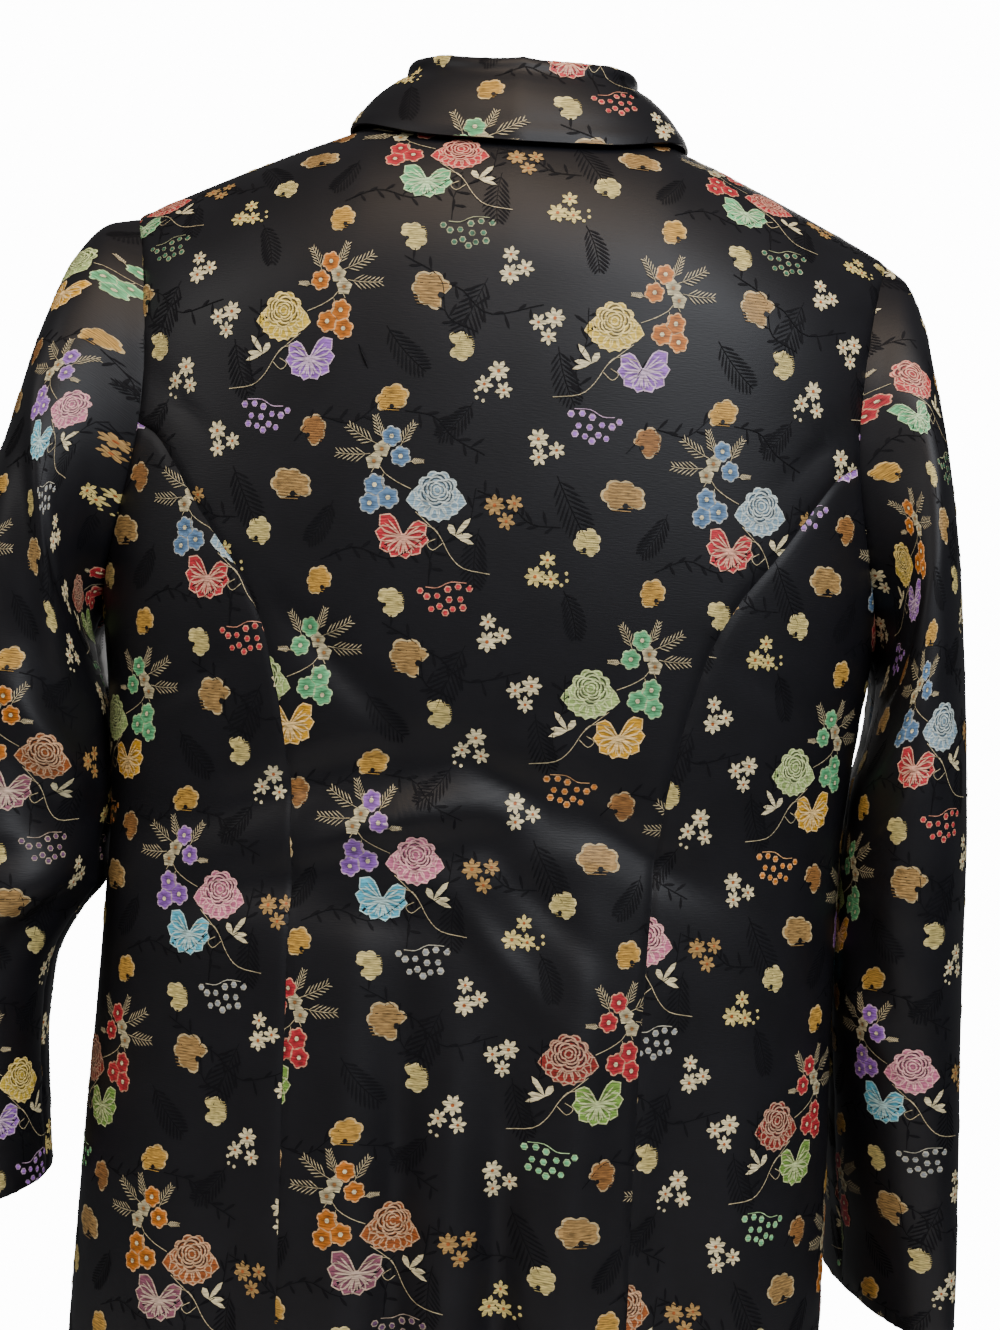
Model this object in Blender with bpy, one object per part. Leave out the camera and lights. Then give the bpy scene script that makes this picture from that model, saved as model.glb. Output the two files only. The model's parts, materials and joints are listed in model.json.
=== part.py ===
"""Brocade jacket, filled out and hollow, seen from its back: metres, +Z up, the back towards -Y.

The origin is the middle of the neck at the height of the shoulder-neck points. The body is one smooth
form, cut into panels along its seams. Each panel is a wall of cloth between an outer grid of points on
the form and an inner grid. Panels that share a seam share its points, and each then draws back from it.
Left and right are the wearer's, so the left side lies at -X.
"""

import math
from collections import namedtuple

import bpy
import numpy as np

CLOTH = 0.0015
SEAM_GAP = 0.00034
LAP_GAP = 0.0005
RIGHT_ANGLE = math.pi / 2

BACK, FRONT = -1, 1
LEFT, RIGHT = -1, 1

# The body: a squarish oval at each level, closed over the top along the shoulder ridge.
SQUARENESS = 2.5
ROUNDING = {BACK: 0.100, FRONT: 0.108}
CHEST_DEPTH = 0.098
HEM_DOWN = 0.740

Girth = namedtuple("Girth", "down half_width back_depth front_depth")
GIRTHS = (
    Girth(-0.02, 0.2000, 0.0850, 0.060),
    Girth(0.00, 0.2050, 0.0880, 0.066),
    Girth(0.06, 0.2105, 0.0930, 0.082),
    Girth(0.15, 0.2125, 0.0980, 0.100),
    Girth(0.20, 0.2125, 0.0975, 0.108),
    Girth(0.26, 0.2095, 0.0950, 0.112),
    Girth(0.33, 0.2015, 0.0880, 0.106),
    Girth(0.39, 0.1975, 0.0820, 0.100),
    Girth(0.46, 0.1980, 0.0870, 0.101),
    Girth(0.56, 0.2005, 0.0950, 0.104),
    Girth(0.66, 0.2020, 0.0990, 0.107),
    Girth(0.75, 0.2030, 0.1010, 0.108),
)

Ridge = namedtuple("Ridge", "across down")
SHOULDER_RIDGE = (
    Ridge(0.000, -0.0040),
    Ridge(0.074, 0.0060),
    Ridge(0.090, 0.0125),
    Ridge(0.130, 0.0290),
    Ridge(0.170, 0.0465),
    Ridge(0.205, 0.0620),
    Ridge(0.225, 0.0710),
)

# Seams of the body.
NECK_HALF_WIDTH = 0.0742
NECK_DEPTH = {BACK: 0.060, FRONT: 0.075}
SHOULDER_ACROSS = 0.204
UNDERARM_DOWN = 0.275
ARMHOLE_MIDDLE_DOWN = 0.160

ArmEdge = namedtuple("ArmEdge", "down back_across front_across")
ARM_EDGES = (
    ArmEdge(0.0615, 0.2040, 0.2040),
    ArmEdge(0.0750, 0.1985, 0.1970),
    ArmEdge(0.1050, 0.1900, 0.1870),
    ArmEdge(0.1400, 0.1845, 0.1810),
    ArmEdge(0.1600, 0.1838, 0.1800),
)
# Angles of the armhole's points, from the shoulder over the back to the underarm.
ARM_ANGLES = (0, 14, 28, 42, 57, 76, 97, 112, 127, 141, 154, 167, 180)
PRINCESS_START = 6

Seam = namedtuple("Seam", "down across")
PRINCESS_SEAM = (
    Seam(0.188, 0.1735),
    Seam(0.203, 0.1620),
    Seam(0.230, 0.1435),
    Seam(0.255, 0.1245),
    Seam(0.280, 0.1115),
    Seam(0.300, 0.1055),
    Seam(0.330, 0.0985),
    Seam(0.370, 0.0930),
    Seam(0.420, 0.0900),
    Seam(0.500, 0.0880),
    Seam(0.620, 0.0865),
    Seam(0.740, 0.0870),
)
HEM_DRIFT = 0.006
DRIFT_START = 0.42

ROWS_BELOW_ARM = 20
NECK_COLUMNS = 12
SHOULDER_COLUMNS = 6
FRONT_NECK_COLUMNS = 6
LAP = 0.016
LAP_END = 0.018

# Soft folds of the body: ridges are positive and troughs negative, each along one line down the cloth.
Fold = namedtuple("Fold", "side across_top across_hem start full half_width out")
BODY_FOLDS = (
    Fold(BACK, -0.058, -0.050, 0.38, 0.52, 0.014, 0.0050),
    Fold(BACK, -0.029, -0.024, 0.41, 0.56, 0.011, -0.0085),
    Fold(BACK, -0.003, 0.002, 0.42, 0.58, 0.011, 0.0055),
    Fold(BACK, 0.023, 0.028, 0.45, 0.60, 0.011, -0.0100),
    Fold(BACK, 0.060, 0.056, 0.36, 0.50, 0.016, 0.0070),
    Fold(BACK, 0.112, 0.104, 0.40, 0.60, 0.017, -0.0060),
    Fold(BACK, 0.150, 0.146, 0.42, 0.64, 0.020, 0.0045),
    Fold(BACK, -0.112, -0.108, 0.42, 0.62, 0.018, -0.0050),
    Fold(BACK, -0.150, -0.148, 0.44, 0.66, 0.020, 0.0050),
    Fold(FRONT, 0.060, 0.062, 0.42, 0.62, 0.018, -0.0060),
    Fold(FRONT, 0.105, 0.110, 0.38, 0.58, 0.020, 0.0060),
    Fold(FRONT, 0.150, 0.152, 0.44, 0.64, 0.018, -0.0050),
    Fold(FRONT, -0.064, -0.060, 0.40, 0.60, 0.018, -0.0055),
    Fold(FRONT, -0.110, -0.112, 0.40, 0.60, 0.020, 0.0060),
    Fold(FRONT, -0.150, -0.154, 0.44, 0.66, 0.018, -0.0050),
)
# Creases across the small of the back, where the cloth rests.
Crease = namedtuple("Crease", "across down tilt half_length half_width out")
BACK_CREASES = (
    Crease(-0.062, 0.372, -0.55, 0.055, 0.011, -0.0050),
    Crease(0.010, 0.352, 0.05, 0.060, 0.012, -0.0040),
    Crease(-0.020, 0.392, -0.10, 0.070, 0.013, 0.0040),
    Crease(0.075, 0.380, 0.40, 0.050, 0.012, -0.0035),
)

# The sleeves: each ring spans from the outer line of the arm to its inner line, seen from the back.
SLEEVE_SQUARENESS = 2.3
CAP_RINGS = 4
Ring = namedtuple("Ring", "outer outer_down inner inner_down middle_y half_depth turn")
SLEEVES = {
    LEFT: (
        Ring(0.2040, 0.0615, 0.2085, 0.2750, 0.000, 0.0640, 0.00),
        Ring(0.2185, 0.0665, 0.2098, 0.2785, -0.001, 0.0670, 0.00),
        Ring(0.2315, 0.0840, 0.2108, 0.2820, -0.003, 0.0700, 0.02),
        Ring(0.2410, 0.1110, 0.2117, 0.2860, -0.005, 0.0725, 0.04),
        Ring(0.2500, 0.1440, 0.2125, 0.2915, -0.008, 0.0740, 0.06),
        Ring(0.2615, 0.1830, 0.2110, 0.3000, -0.006, 0.0745, 0.08),
        Ring(0.2740, 0.2240, 0.2080, 0.3120, -0.005, 0.0735, 0.08),
        Ring(0.2855, 0.2640, 0.2035, 0.3270, -0.004, 0.0715, 0.08),
        Ring(0.2960, 0.3020, 0.2012, 0.3440, -0.004, 0.0690, 0.07),
        Ring(0.3040, 0.3340, 0.1993, 0.3620, -0.007, 0.0665, 0.05),
        Ring(0.3085, 0.3620, 0.1981, 0.3800, -0.010, 0.0645, 0.03),
        Ring(0.3110, 0.3900, 0.1977, 0.3990, -0.012, 0.0620, 0.02),
        Ring(0.3105, 0.4200, 0.1975, 0.4200, -0.016, 0.0600, 0.00),
        Ring(0.3105, 0.4520, 0.2125, 0.4430, -0.019, 0.0575, 0.00),
        Ring(0.3100, 0.4860, 0.2225, 0.4700, -0.021, 0.0550, 0.00),
        Ring(0.3095, 0.5200, 0.2235, 0.5000, -0.023, 0.0525, 0.00),
        Ring(0.3100, 0.5550, 0.2215, 0.5350, -0.021, 0.0500, 0.00),
        Ring(0.3105, 0.5830, 0.2190, 0.5600, -0.020, 0.0475, 0.00),
        Ring(0.3110, 0.6060, 0.2165, 0.5790, -0.020, 0.0450, 0.00),
    ),
    RIGHT: (
        Ring(0.2040, 0.0615, 0.2085, 0.2750, 0.000, 0.0640, 0.00),
        Ring(0.2140, 0.0710, 0.2096, 0.2785, -0.001, 0.0670, 0.02),
        Ring(0.2225, 0.0920, 0.2104, 0.2820, -0.002, 0.0710, 0.04),
        Ring(0.2285, 0.1200, 0.2112, 0.2860, -0.003, 0.0750, 0.07),
        Ring(0.2360, 0.1520, 0.2120, 0.2915, -0.004, 0.0785, 0.09),
        Ring(0.2435, 0.1880, 0.2117, 0.3000, -0.005, 0.0800, 0.11),
        Ring(0.2500, 0.2270, 0.2100, 0.3130, -0.005, 0.0800, 0.12),
        Ring(0.2545, 0.2650, 0.2070, 0.3280, -0.006, 0.0790, 0.13),
        Ring(0.2580, 0.3010, 0.2025, 0.3450, -0.007, 0.0775, 0.13),
        Ring(0.2605, 0.3340, 0.2000, 0.3630, -0.008, 0.0755, 0.13),
        Ring(0.2625, 0.3640, 0.1981, 0.3810, -0.008, 0.0735, 0.12),
        Ring(0.2640, 0.3930, 0.1975, 0.4020, -0.006, 0.0715, 0.11),
        Ring(0.2652, 0.4240, 0.1979, 0.4270, -0.003, 0.0695, 0.09),
        Ring(0.2662, 0.4560, 0.1998, 0.4550, 0.001, 0.0680, 0.05),
        Ring(0.2672, 0.4900, 0.2025, 0.4850, 0.006, 0.0665, 0.00),
        Ring(0.2682, 0.5250, 0.2065, 0.5200, 0.010, 0.0650, -0.05),
        Ring(0.2690, 0.5600, 0.2105, 0.5550, 0.015, 0.0635, -0.10),
        Ring(0.2700, 0.6000, 0.2175, 0.5930, 0.020, 0.0615, -0.15),
        Ring(0.2710, 0.6400, 0.2210, 0.6300, 0.025, 0.0600, -0.18),
    ),
}
# Creases of the sleeves, by ring and by angle round the ring: 90 is the back, 180 the inner side.
SleeveFold = namedtuple("SleeveFold", "side ring angle tilt half_rings half_angle out")
SLEEVE_FOLDS = (
    SleeveFold(LEFT, 7.2, 118, 0.020, 0.9, 34, -0.0060),
    SleeveFold(LEFT, 8.6, 128, 0.024, 0.7, 30, 0.0045),
    SleeveFold(LEFT, 10.3, 135, 0.018, 0.8, 42, -0.0080),
    SleeveFold(LEFT, 11.8, 128, -0.018, 0.7, 34, 0.0050),
    SleeveFold(LEFT, 12.8, 140, -0.026, 0.8, 36, -0.0060),
    SleeveFold(LEFT, 5.2, 84, 0.030, 0.8, 26, -0.0040),
    SleeveFold(LEFT, 10.4, 250, 0.018, 0.9, 36, -0.0060),
    SleeveFold(LEFT, 12.0, 262, -0.018, 0.8, 32, 0.0040),
    SleeveFold(RIGHT, 8.8, 132, 0.022, 0.8, 34, -0.0045),
    SleeveFold(RIGHT, 10.8, 140, 0.016, 0.8, 38, -0.0050),
    SleeveFold(RIGHT, 12.4, 130, -0.018, 0.8, 32, -0.0040),
    SleeveFold(RIGHT, 10.6, 248, 0.018, 0.9, 36, -0.0060),
    SleeveFold(RIGHT, 12.2, 262, -0.018, 0.8, 32, 0.0040),
)

# The collar, by the angle round the neck from its centre back.
Collar = namedtuple("Collar", "angle stand lean edge_across edge_down")
COLLAR = (
    Collar(0, 0.038, 0.008, 0.0000, 0.033),
    Collar(30, 0.037, 0.009, 0.0452, 0.030),
    Collar(60, 0.034, 0.013, 0.0784, 0.020),
    Collar(90, 0.032, 0.016, 0.0905, 0.013),
    Collar(112, 0.031, 0.015, 0.0885, 0.030),
    Collar(135, 0.030, 0.012, 0.0795, 0.059),
    Collar(158, 0.028, 0.009, 0.0600, 0.088),
    Collar(177.7, 0.027, 0.008, 0.0420, 0.104),
)
COLLAR_END_ANGLE = 177.7
LAP_LIFT = 0.0022
LAP_LIFT_START, LAP_LIFT_FULL = 150, 168
FALL_LIFT = 0.0038
FALL_ROWS = 5
# The roll over the top of the stand: out from the stand's outer face, and up from its top.
Roll = namedtuple("Roll", "out up face_out face_up")
COLLAR_ROLL = (
    Roll(-0.0015, 0.0019, 0.00, 1.00),
    Roll(0.0015, 0.0022, 0.40, 0.92),
    Roll(0.0042, -0.0006, 0.85, 0.50),
    Roll(0.0056, -0.0058, 0.97, 0.20),
)

BUTTONS = 5
FIRST_BUTTON_DOWN = 0.098
BUTTON_SPACING = 0.115
BUTTON_RADIUS = 0.009
BUTTON_HEIGHT = 0.0045
BUTTON_SIDES = 16
BUTTON_SEAT = 0.0007


def smooth(at, knots, values):
    """Values between the rows of a table, on a curve that never overshoots them."""
    at = np.asarray(at, float)
    knots = np.asarray(knots, float)
    values = np.asarray(values, float)
    step = np.diff(knots)
    rise = np.diff(values) / step
    slope = np.empty_like(values)
    slope[0], slope[-1] = rise[0], rise[-1]
    product = rise[:-1] * rise[1:]
    total = np.where(product > 0, rise[:-1] + rise[1:], 1.0)
    slope[1:-1] = np.where(product > 0, 2 * product / total, 0.0)
    index = np.clip(np.searchsorted(knots, at, side="right") - 1, 0, len(step) - 1)
    part = np.clip((at - knots[index]) / step[index], 0, 1)
    start, end = values[index], values[index + 1]
    lean_in, lean_out = slope[index] * step[index], slope[index + 1] * step[index]
    square, cube = part**2, part**3
    return (
        start * (2 * cube - 3 * square + 1)
        + end * (3 * square - 2 * cube)
        + lean_in * (cube - 2 * square + part)
        + lean_out * (cube - square)
    )


def column(rows, name):
    return [getattr(row, name) for row in rows]


def from_table(at, rows, key, value):
    return smooth(at, column(rows, key), column(rows, value))


def ease(at, start, end):
    """0 before start, 1 after end, and smooth between."""
    part = np.clip((at - start) / (end - start), 0, 1)
    return part * part * (3 - 2 * part)


def bump(distance, half_width):
    return np.exp(-((distance / half_width) ** 2))


def power(value, exponent):
    return np.sign(value) * np.abs(value) ** exponent


def unit(vectors):
    return vectors / np.maximum(np.linalg.norm(vectors, axis=-1, keepdims=True), 1e-12)


def half_width(down):
    return from_table(down, GIRTHS, "down", "half_width")


def depth(down, side):
    name = "back_depth" if side == BACK else "front_depth"
    return from_table(down, GIRTHS, "down", name)


def ridge(across):
    return from_table(np.abs(across), SHOULDER_RIDGE, "across", "down")


def shoulder_arc(side):
    """Length of cloth from the ridge to where the back or front hangs straight."""
    return RIGHT_ANGLE * math.sqrt((ROUNDING[side] ** 2 + CHEST_DEPTH**2) / 2)


def form_point(turn, drop, side):
    """The bare form: turn is 0 at the centre and a right angle at the side, drop runs down from the ridge."""
    turn, drop = np.broadcast_arrays(np.asarray(turn, float), np.asarray(drop, float))
    arc = shoulder_arc(side)
    angle = np.minimum(drop / arc, 1) * RIGHT_ANGLE
    fall = ROUNDING[side] * (1 - np.cos(angle)) + np.maximum(drop - arc, 0)
    across = power(np.sin(turn), 2 / SQUARENESS)
    inward = power(np.cos(turn), 2 / SQUARENESS)
    down = fall + 0.03
    for _ in range(8):
        down = ridge(half_width(down) * across) + fall
    x = half_width(down) * across
    y = side * depth(down, side) * np.sin(angle) * inward
    return np.stack([x, y, -down], -1)


def turn_at(across, down):
    share = np.clip(np.abs(across) / half_width(down), 0, 1)
    return np.sign(across) * np.arcsin(share ** (SQUARENESS / 2))


def drop_at(across, down, side):
    fall = np.maximum(down - ridge(across), 0)
    rounding, arc = ROUNDING[side], shoulder_arc(side)
    angle = np.arccos(np.clip(1 - fall / rounding, 0, 1))
    return np.where(fall < rounding, angle / RIGHT_ANGLE * arc, arc + fall - rounding)


def place(across, down, side):
    """The form's own coordinates, turn and drop, of a point given from the back or front."""
    across, down = np.broadcast_arrays(np.asarray(across, float), np.asarray(down, float))
    return np.stack([turn_at(across, down), drop_at(across, down, side)], -1)


def place_in_plan(across, deep, side):
    """Turn and drop of the point over a place in plan, near the top of the form."""
    down = ridge(across) + 0.03
    for _ in range(12):
        turn = turn_at(across, down)
        reach = depth(down, side) * np.maximum(np.cos(turn), 1e-9) ** (2 / SQUARENESS)
        angle = np.arcsin(np.clip(deep / reach, 0, 1))
        down = ridge(across) + ROUNDING[side] * (1 - np.cos(angle))
    return np.stack([turn, angle / RIGHT_ANGLE * shoulder_arc(side)], -1)


def fold_height(points, side):
    """How far the folds lift the cloth at these points of the bare form."""
    across, down = points[..., 0], -points[..., 2]
    height = np.zeros_like(across)
    for fold in BODY_FOLDS:
        if fold.side != side:
            continue
        part = ease(down, fold.start, HEM_DOWN)
        line = fold.across_top + (fold.across_hem - fold.across_top) * part
        grown = ease(down, fold.start, fold.full)
        height = height + fold.out * grown * bump(across - line, fold.half_width)
    if side == BACK:
        for crease in BACK_CREASES:
            along = across - crease.across
            off = down - crease.down - crease.tilt * along
            height = height + crease.out * bump(along, crease.half_length) * bump(off, crease.half_width)
    return height


def slopes(surface, turn, drop, side):
    step = 1e-4
    along = surface(turn + step, drop, side) - surface(turn - step, drop, side)
    downwards = surface(turn, drop + step, side) - surface(turn, drop - step, side)
    return unit(np.cross(along, downwards)) * side


def cloth_point(turn, drop, side):
    """The outer face of the cloth, folds included."""
    bare = form_point(turn, drop, side)
    return bare + slopes(form_point, turn, drop, side) * fold_height(bare, side)[..., None]


def cloth_outwards(turn, drop, side):
    return slopes(cloth_point, turn, drop, side)


def evenly(line, count):
    """The same line with its points an even distance apart."""
    length = np.concatenate([[0], np.cumsum(np.linalg.norm(np.diff(line, axis=0), axis=1))])
    wanted = np.linspace(0, length[-1], count)
    return np.stack([np.interp(wanted, length, line[:, i]) for i in range(line.shape[1])], -1)


def armhole(side):
    """Across and down of the right armhole's points on the back or front, shoulder to underarm."""
    name = "back_across" if side == BACK else "front_across"
    top = float(ridge(SHOULDER_ACROSS))
    middle = (top + UNDERARM_DOWN) / 2
    down = middle - np.cos(np.radians(ARM_ANGLES)) * (UNDERARM_DOWN - top) / 2
    across = from_table(down, ARM_EDGES, "down", name)
    across[0] = SHOULDER_ACROSS
    middle_across = getattr(ARM_EDGES[-1], name)
    turn = turn_at(middle_across, ARMHOLE_MIDDLE_DOWN)
    widest = depth(ARMHOLE_MIDDLE_DOWN, side) * np.cos(turn) ** (2 / SQUARENESS)
    part = np.clip((down - ARMHOLE_MIDDLE_DOWN) / (UNDERARM_DOWN - ARMHOLE_MIDDLE_DOWN), 0, 1)
    deep = widest * np.sqrt(1 - part**2)
    share = np.clip(deep / depth(down, side), 0, 1)
    lower = half_width(down) * (1 - share**SQUARENESS) ** (1 / SQUARENESS)
    return np.stack([np.where(down > ARMHOLE_MIDDLE_DOWN, lower, across), down], -1)


def armhole_places(hand, side):
    line = armhole(side)
    return place(hand * line[:, 0], line[:, 1], side)


def princess_places(hand):
    """The seam from the back of the armhole to the hem."""
    start = armhole(BACK)[PRINCESS_START]
    downs = [start[1], *column(PRINCESS_SEAM, "down")]
    acrosses = [start[0], *column(PRINCESS_SEAM, "across")]
    down = np.linspace(start[1], HEM_DOWN, 400)
    line = evenly(np.stack([smooth(down, downs, acrosses), down], -1), ROWS_BELOW_ARM + 1)
    drift = HEM_DRIFT * ease(line[:, 1], DRIFT_START, HEM_DOWN)
    return place(hand * line[:, 0] + drift, line[:, 1], BACK)


def side_places(hand, side):
    down = np.linspace(UNDERARM_DOWN, HEM_DOWN, ROWS_BELOW_ARM + 1)
    return place(hand * half_width(down), down, side)


def neck_places(angles, side):
    """Points of the neckline at angles round the neck from its centre back."""
    turn = np.radians(angles)
    across = NECK_HALF_WIDTH * np.sin(turn)
    deep = NECK_DEPTH[side] * np.abs(np.cos(turn))
    places = place_in_plan(across, deep, side)
    places[np.isclose(np.abs(np.sin(turn)), 1), 1] = 0
    return places


def shoulder_places(hand, side):
    across = np.linspace(NECK_HALF_WIDTH, SHOULDER_ACROSS, SHOULDER_COLUMNS + 1)
    return place(hand * across, ridge(across), side)


def hem_places(start, end, count, side):
    """The hem between two places of it, level all the way and evenly spaced."""
    turn = np.linspace(start[0], end[0], 400)
    across = half_width(HEM_DOWN) * power(np.sin(turn), 2 / SQUARENESS)
    places = place(across, np.full(len(turn), HEM_DOWN), side)
    plan = form_point(places[:, 0], places[:, 1], side)
    length = np.concatenate([[0], np.cumsum(np.linalg.norm(np.diff(plan, axis=0), axis=1))])
    wanted = np.linspace(0, length[-1], count)
    return np.stack([np.interp(wanted, length, places[:, i]) for i in range(2)], -1)


def share_of(values):
    """How far along each value lies between the first and the last."""
    return (values - values[0]) / (values[-1] - values[0])


def between(top, bottom, left, right):
    """The places of a panel inside its four edges: its lines never cross."""
    u = np.linspace(0, 1, len(top))[None, :]
    v = np.linspace(0, 1, len(left))[:, None]
    share = (1 - v) * share_of(top[:, 0])[None] + v * share_of(bottom[:, 0])[None]
    turn = left[:, :1] + (right[:, :1] - left[:, :1]) * share
    part = (1 - u) * share_of(left[:, 1])[:, None] + u * share_of(right[:, 1])[:, None]
    drop = top[None, :, 1] + (bottom[None, :, 1] - top[None, :, 1]) * part
    return np.stack([turn, drop], -1)


def lift_off(grid, side):
    """Outer and inner points of the cloth at a grid of places."""
    turn, drop = grid[..., 0], grid[..., 1]
    outer = cloth_point(turn, drop, side)
    return outer, outer - CLOTH * cloth_outwards(turn, drop, side)


def armhole_rim(hand):
    """Outer points and inward directions round an armhole, shared by the body and the sleeve."""
    back, front = armhole_places(hand, BACK), armhole_places(hand, FRONT)
    over_back = cloth_point(back[:, 0], back[:, 1], BACK)
    over_front = cloth_point(front[:, 0], front[:, 1], FRONT)
    rim = np.concatenate([over_back, over_front[-2:0:-1]])
    along = unit(np.roll(rim, -1, 0) - np.roll(rim, 1, 0))
    middle = (rim[0] + rim[len(ARM_ANGLES) - 1]) / 2
    inward = middle - rim
    inward = inward - (inward * along).sum(-1, keepdims=True) * along
    return rim, unit(inward)


def rim_part(hand, side, start, end):
    """The rim's outer points and inward directions between two of its angles."""
    rim, inward = armhole_rim(hand)
    index = np.arange(start, end + 1)
    index = index if side == BACK else -index
    return rim[index], inward[index]


def draw_back(outer, inner, edge):
    """Moves one edge of a panel back from its seam by half the gap, in the cloth."""
    if edge in ("top", "bottom"):
        line, beside = (0, 1) if edge == "top" else (-1, -2)
        rows = (line, slice(None)), (beside, slice(None))
    else:
        line, beside = (0, 1) if edge == "left" else (-1, -2)
        rows = (slice(None), line), (slice(None), beside)
    border, neighbour = outer[rows[0]], outer[rows[1]]
    along = unit(np.gradient(border, axis=0))
    inwards = neighbour - border
    inwards = unit(inwards - (inwards * along).sum(-1, keepdims=True) * along)
    outer[rows[0]] = border + inwards * SEAM_GAP / 2
    inner[rows[0]] = inner[rows[0]] + inwards * SEAM_GAP / 2


def wall(name, outer, inner, material, round_tube=False):
    """A closed wall of cloth between two grids of points."""
    rows, columns = outer.shape[:2]
    points = np.concatenate([outer.reshape(-1, 3), inner.reshape(-1, 3)])
    shift = rows * columns
    faces = []

    def quad(a, b, c, d):
        faces.extend([(a, b, c), (a, c, d)])

    def both_faces(a, b, c, d):
        """The outer and inner face of one cell, cut along its shorter diagonal."""
        if np.linalg.norm(points[a] - points[c]) > np.linalg.norm(points[b] - points[d]):
            a, b, c, d = b, c, d, a
        quad(a, b, c, d)
        quad(shift + a, shift + d, shift + c, shift + b)

    last = columns if round_tube else columns - 1
    for i in range(rows - 1):
        for j in range(last):
            a, b = i * columns + j, i * columns + (j + 1) % columns
            both_faces(a, b, b + columns, a + columns)
    for j in range(last):
        a, b = j, (j + 1) % columns
        quad(b, a, a + shift, b + shift)
        a, b = a + (rows - 1) * columns, b + (rows - 1) * columns
        quad(a, b, b + shift, a + shift)
    if not round_tube:
        for i in range(rows - 1):
            a, b = i * columns, (i + 1) * columns
            quad(a, b, b + shift, a + shift)
            a, b = a + columns - 1, b + columns - 1
            quad(b, a, a + shift, b + shift)
    faces = np.array(faces)
    corners = points[faces]
    if np.einsum("ij,ij->i", corners[:, 0], np.cross(corners[:, 1], corners[:, 2])).sum() < 0:
        faces = faces[:, ::-1]
    return new_object(name, points, faces.tolist(), material)


def new_object(name, points, faces, material):
    mesh = bpy.data.meshes.new(name)
    mesh.from_pydata([tuple(point) for point in points], [], faces)
    mesh.update()
    mesh.shade_smooth()
    mesh.set_sharp_from_angle(angle=math.radians(45))
    mesh.materials.append(material)
    piece = bpy.data.objects.new(name, mesh)
    bpy.context.scene.collection.objects.link(piece)
    return piece


def satin(name, colour, roughness):
    material = bpy.data.materials.new(name)
    material.use_nodes = True
    shader = material.node_tree.nodes["Principled BSDF"]
    shader.inputs["Base Color"].default_value = (*colour, 1)
    shader.inputs["Roughness"].default_value = roughness
    shader.inputs["Metallic"].default_value = 0
    return material


def centre_back(material):
    left_arm = armhole_places(LEFT, BACK)[: PRINCESS_START + 1]
    right_arm = armhole_places(RIGHT, BACK)[: PRINCESS_START + 1]
    left = np.concatenate([left_arm, princess_places(LEFT)[1:]])
    right = np.concatenate([right_arm, princess_places(RIGHT)[1:]])
    neck = neck_places(np.linspace(-90, 90, NECK_COLUMNS + 1), BACK)
    shoulder_left = shoulder_places(LEFT, BACK)[::-1]
    shoulder_right = shoulder_places(RIGHT, BACK)
    top = np.concatenate([shoulder_left, neck[1:-1], shoulder_right])
    bottom = hem_places(left[-1], right[-1], len(top), BACK)
    outer, inner = lift_off(between(top, bottom, left, right), BACK)
    for hand, line in ((LEFT, 0), (RIGHT, -1)):
        rim, inward = rim_part(hand, BACK, 0, PRINCESS_START)
        outer[: PRINCESS_START + 1, line] = rim
        inner[: PRINCESS_START + 1, line] = rim + CLOTH * inward
    # The corner at each armhole is drawn back further, where the seams meet at a sharp turn.
    for edge in ("left", "right"):
        draw_back_part(outer, inner, edge, slice(PRINCESS_START, None))
        for _ in range(2):
            draw_back_part(outer, inner, edge, slice(PRINCESS_START - 1, PRINCESS_START + 2))
    draw_back_part(outer, inner, "top", slice(0, SHOULDER_COLUMNS + 1))
    draw_back_part(outer, inner, "top", slice(-SHOULDER_COLUMNS - 1, None))
    return wall("centre_back", outer, inner, material)


def draw_back_part(outer, inner, edge, stretch):
    """Draws back only a stretch of one edge."""
    moved_outer, moved_inner = outer.copy(), inner.copy()
    draw_back(moved_outer, moved_inner, edge)
    line = {"top": 0, "bottom": -1, "left": 0, "right": -1}[edge]
    where = (line, stretch) if edge in ("top", "bottom") else (stretch, line)
    outer[where] = moved_outer[where]
    inner[where] = moved_inner[where]


def side_back(hand, material):
    top = armhole_places(hand, BACK)[PRINCESS_START:]
    left, right = princess_places(hand), side_places(hand, BACK)
    bottom = hem_places(left[-1], right[-1], len(top), BACK)
    outer, inner = lift_off(between(top, bottom, left, right), BACK)
    rim, inward = rim_part(hand, BACK, PRINCESS_START, len(ARM_ANGLES) - 1)
    outer[0], inner[0] = rim, rim + CLOTH * inward
    draw_back(outer, inner, "left")
    draw_back(outer, inner, "right")
    name = "side_back_left" if hand == LEFT else "side_back_right"
    return wall(name, outer, inner, material)


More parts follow.
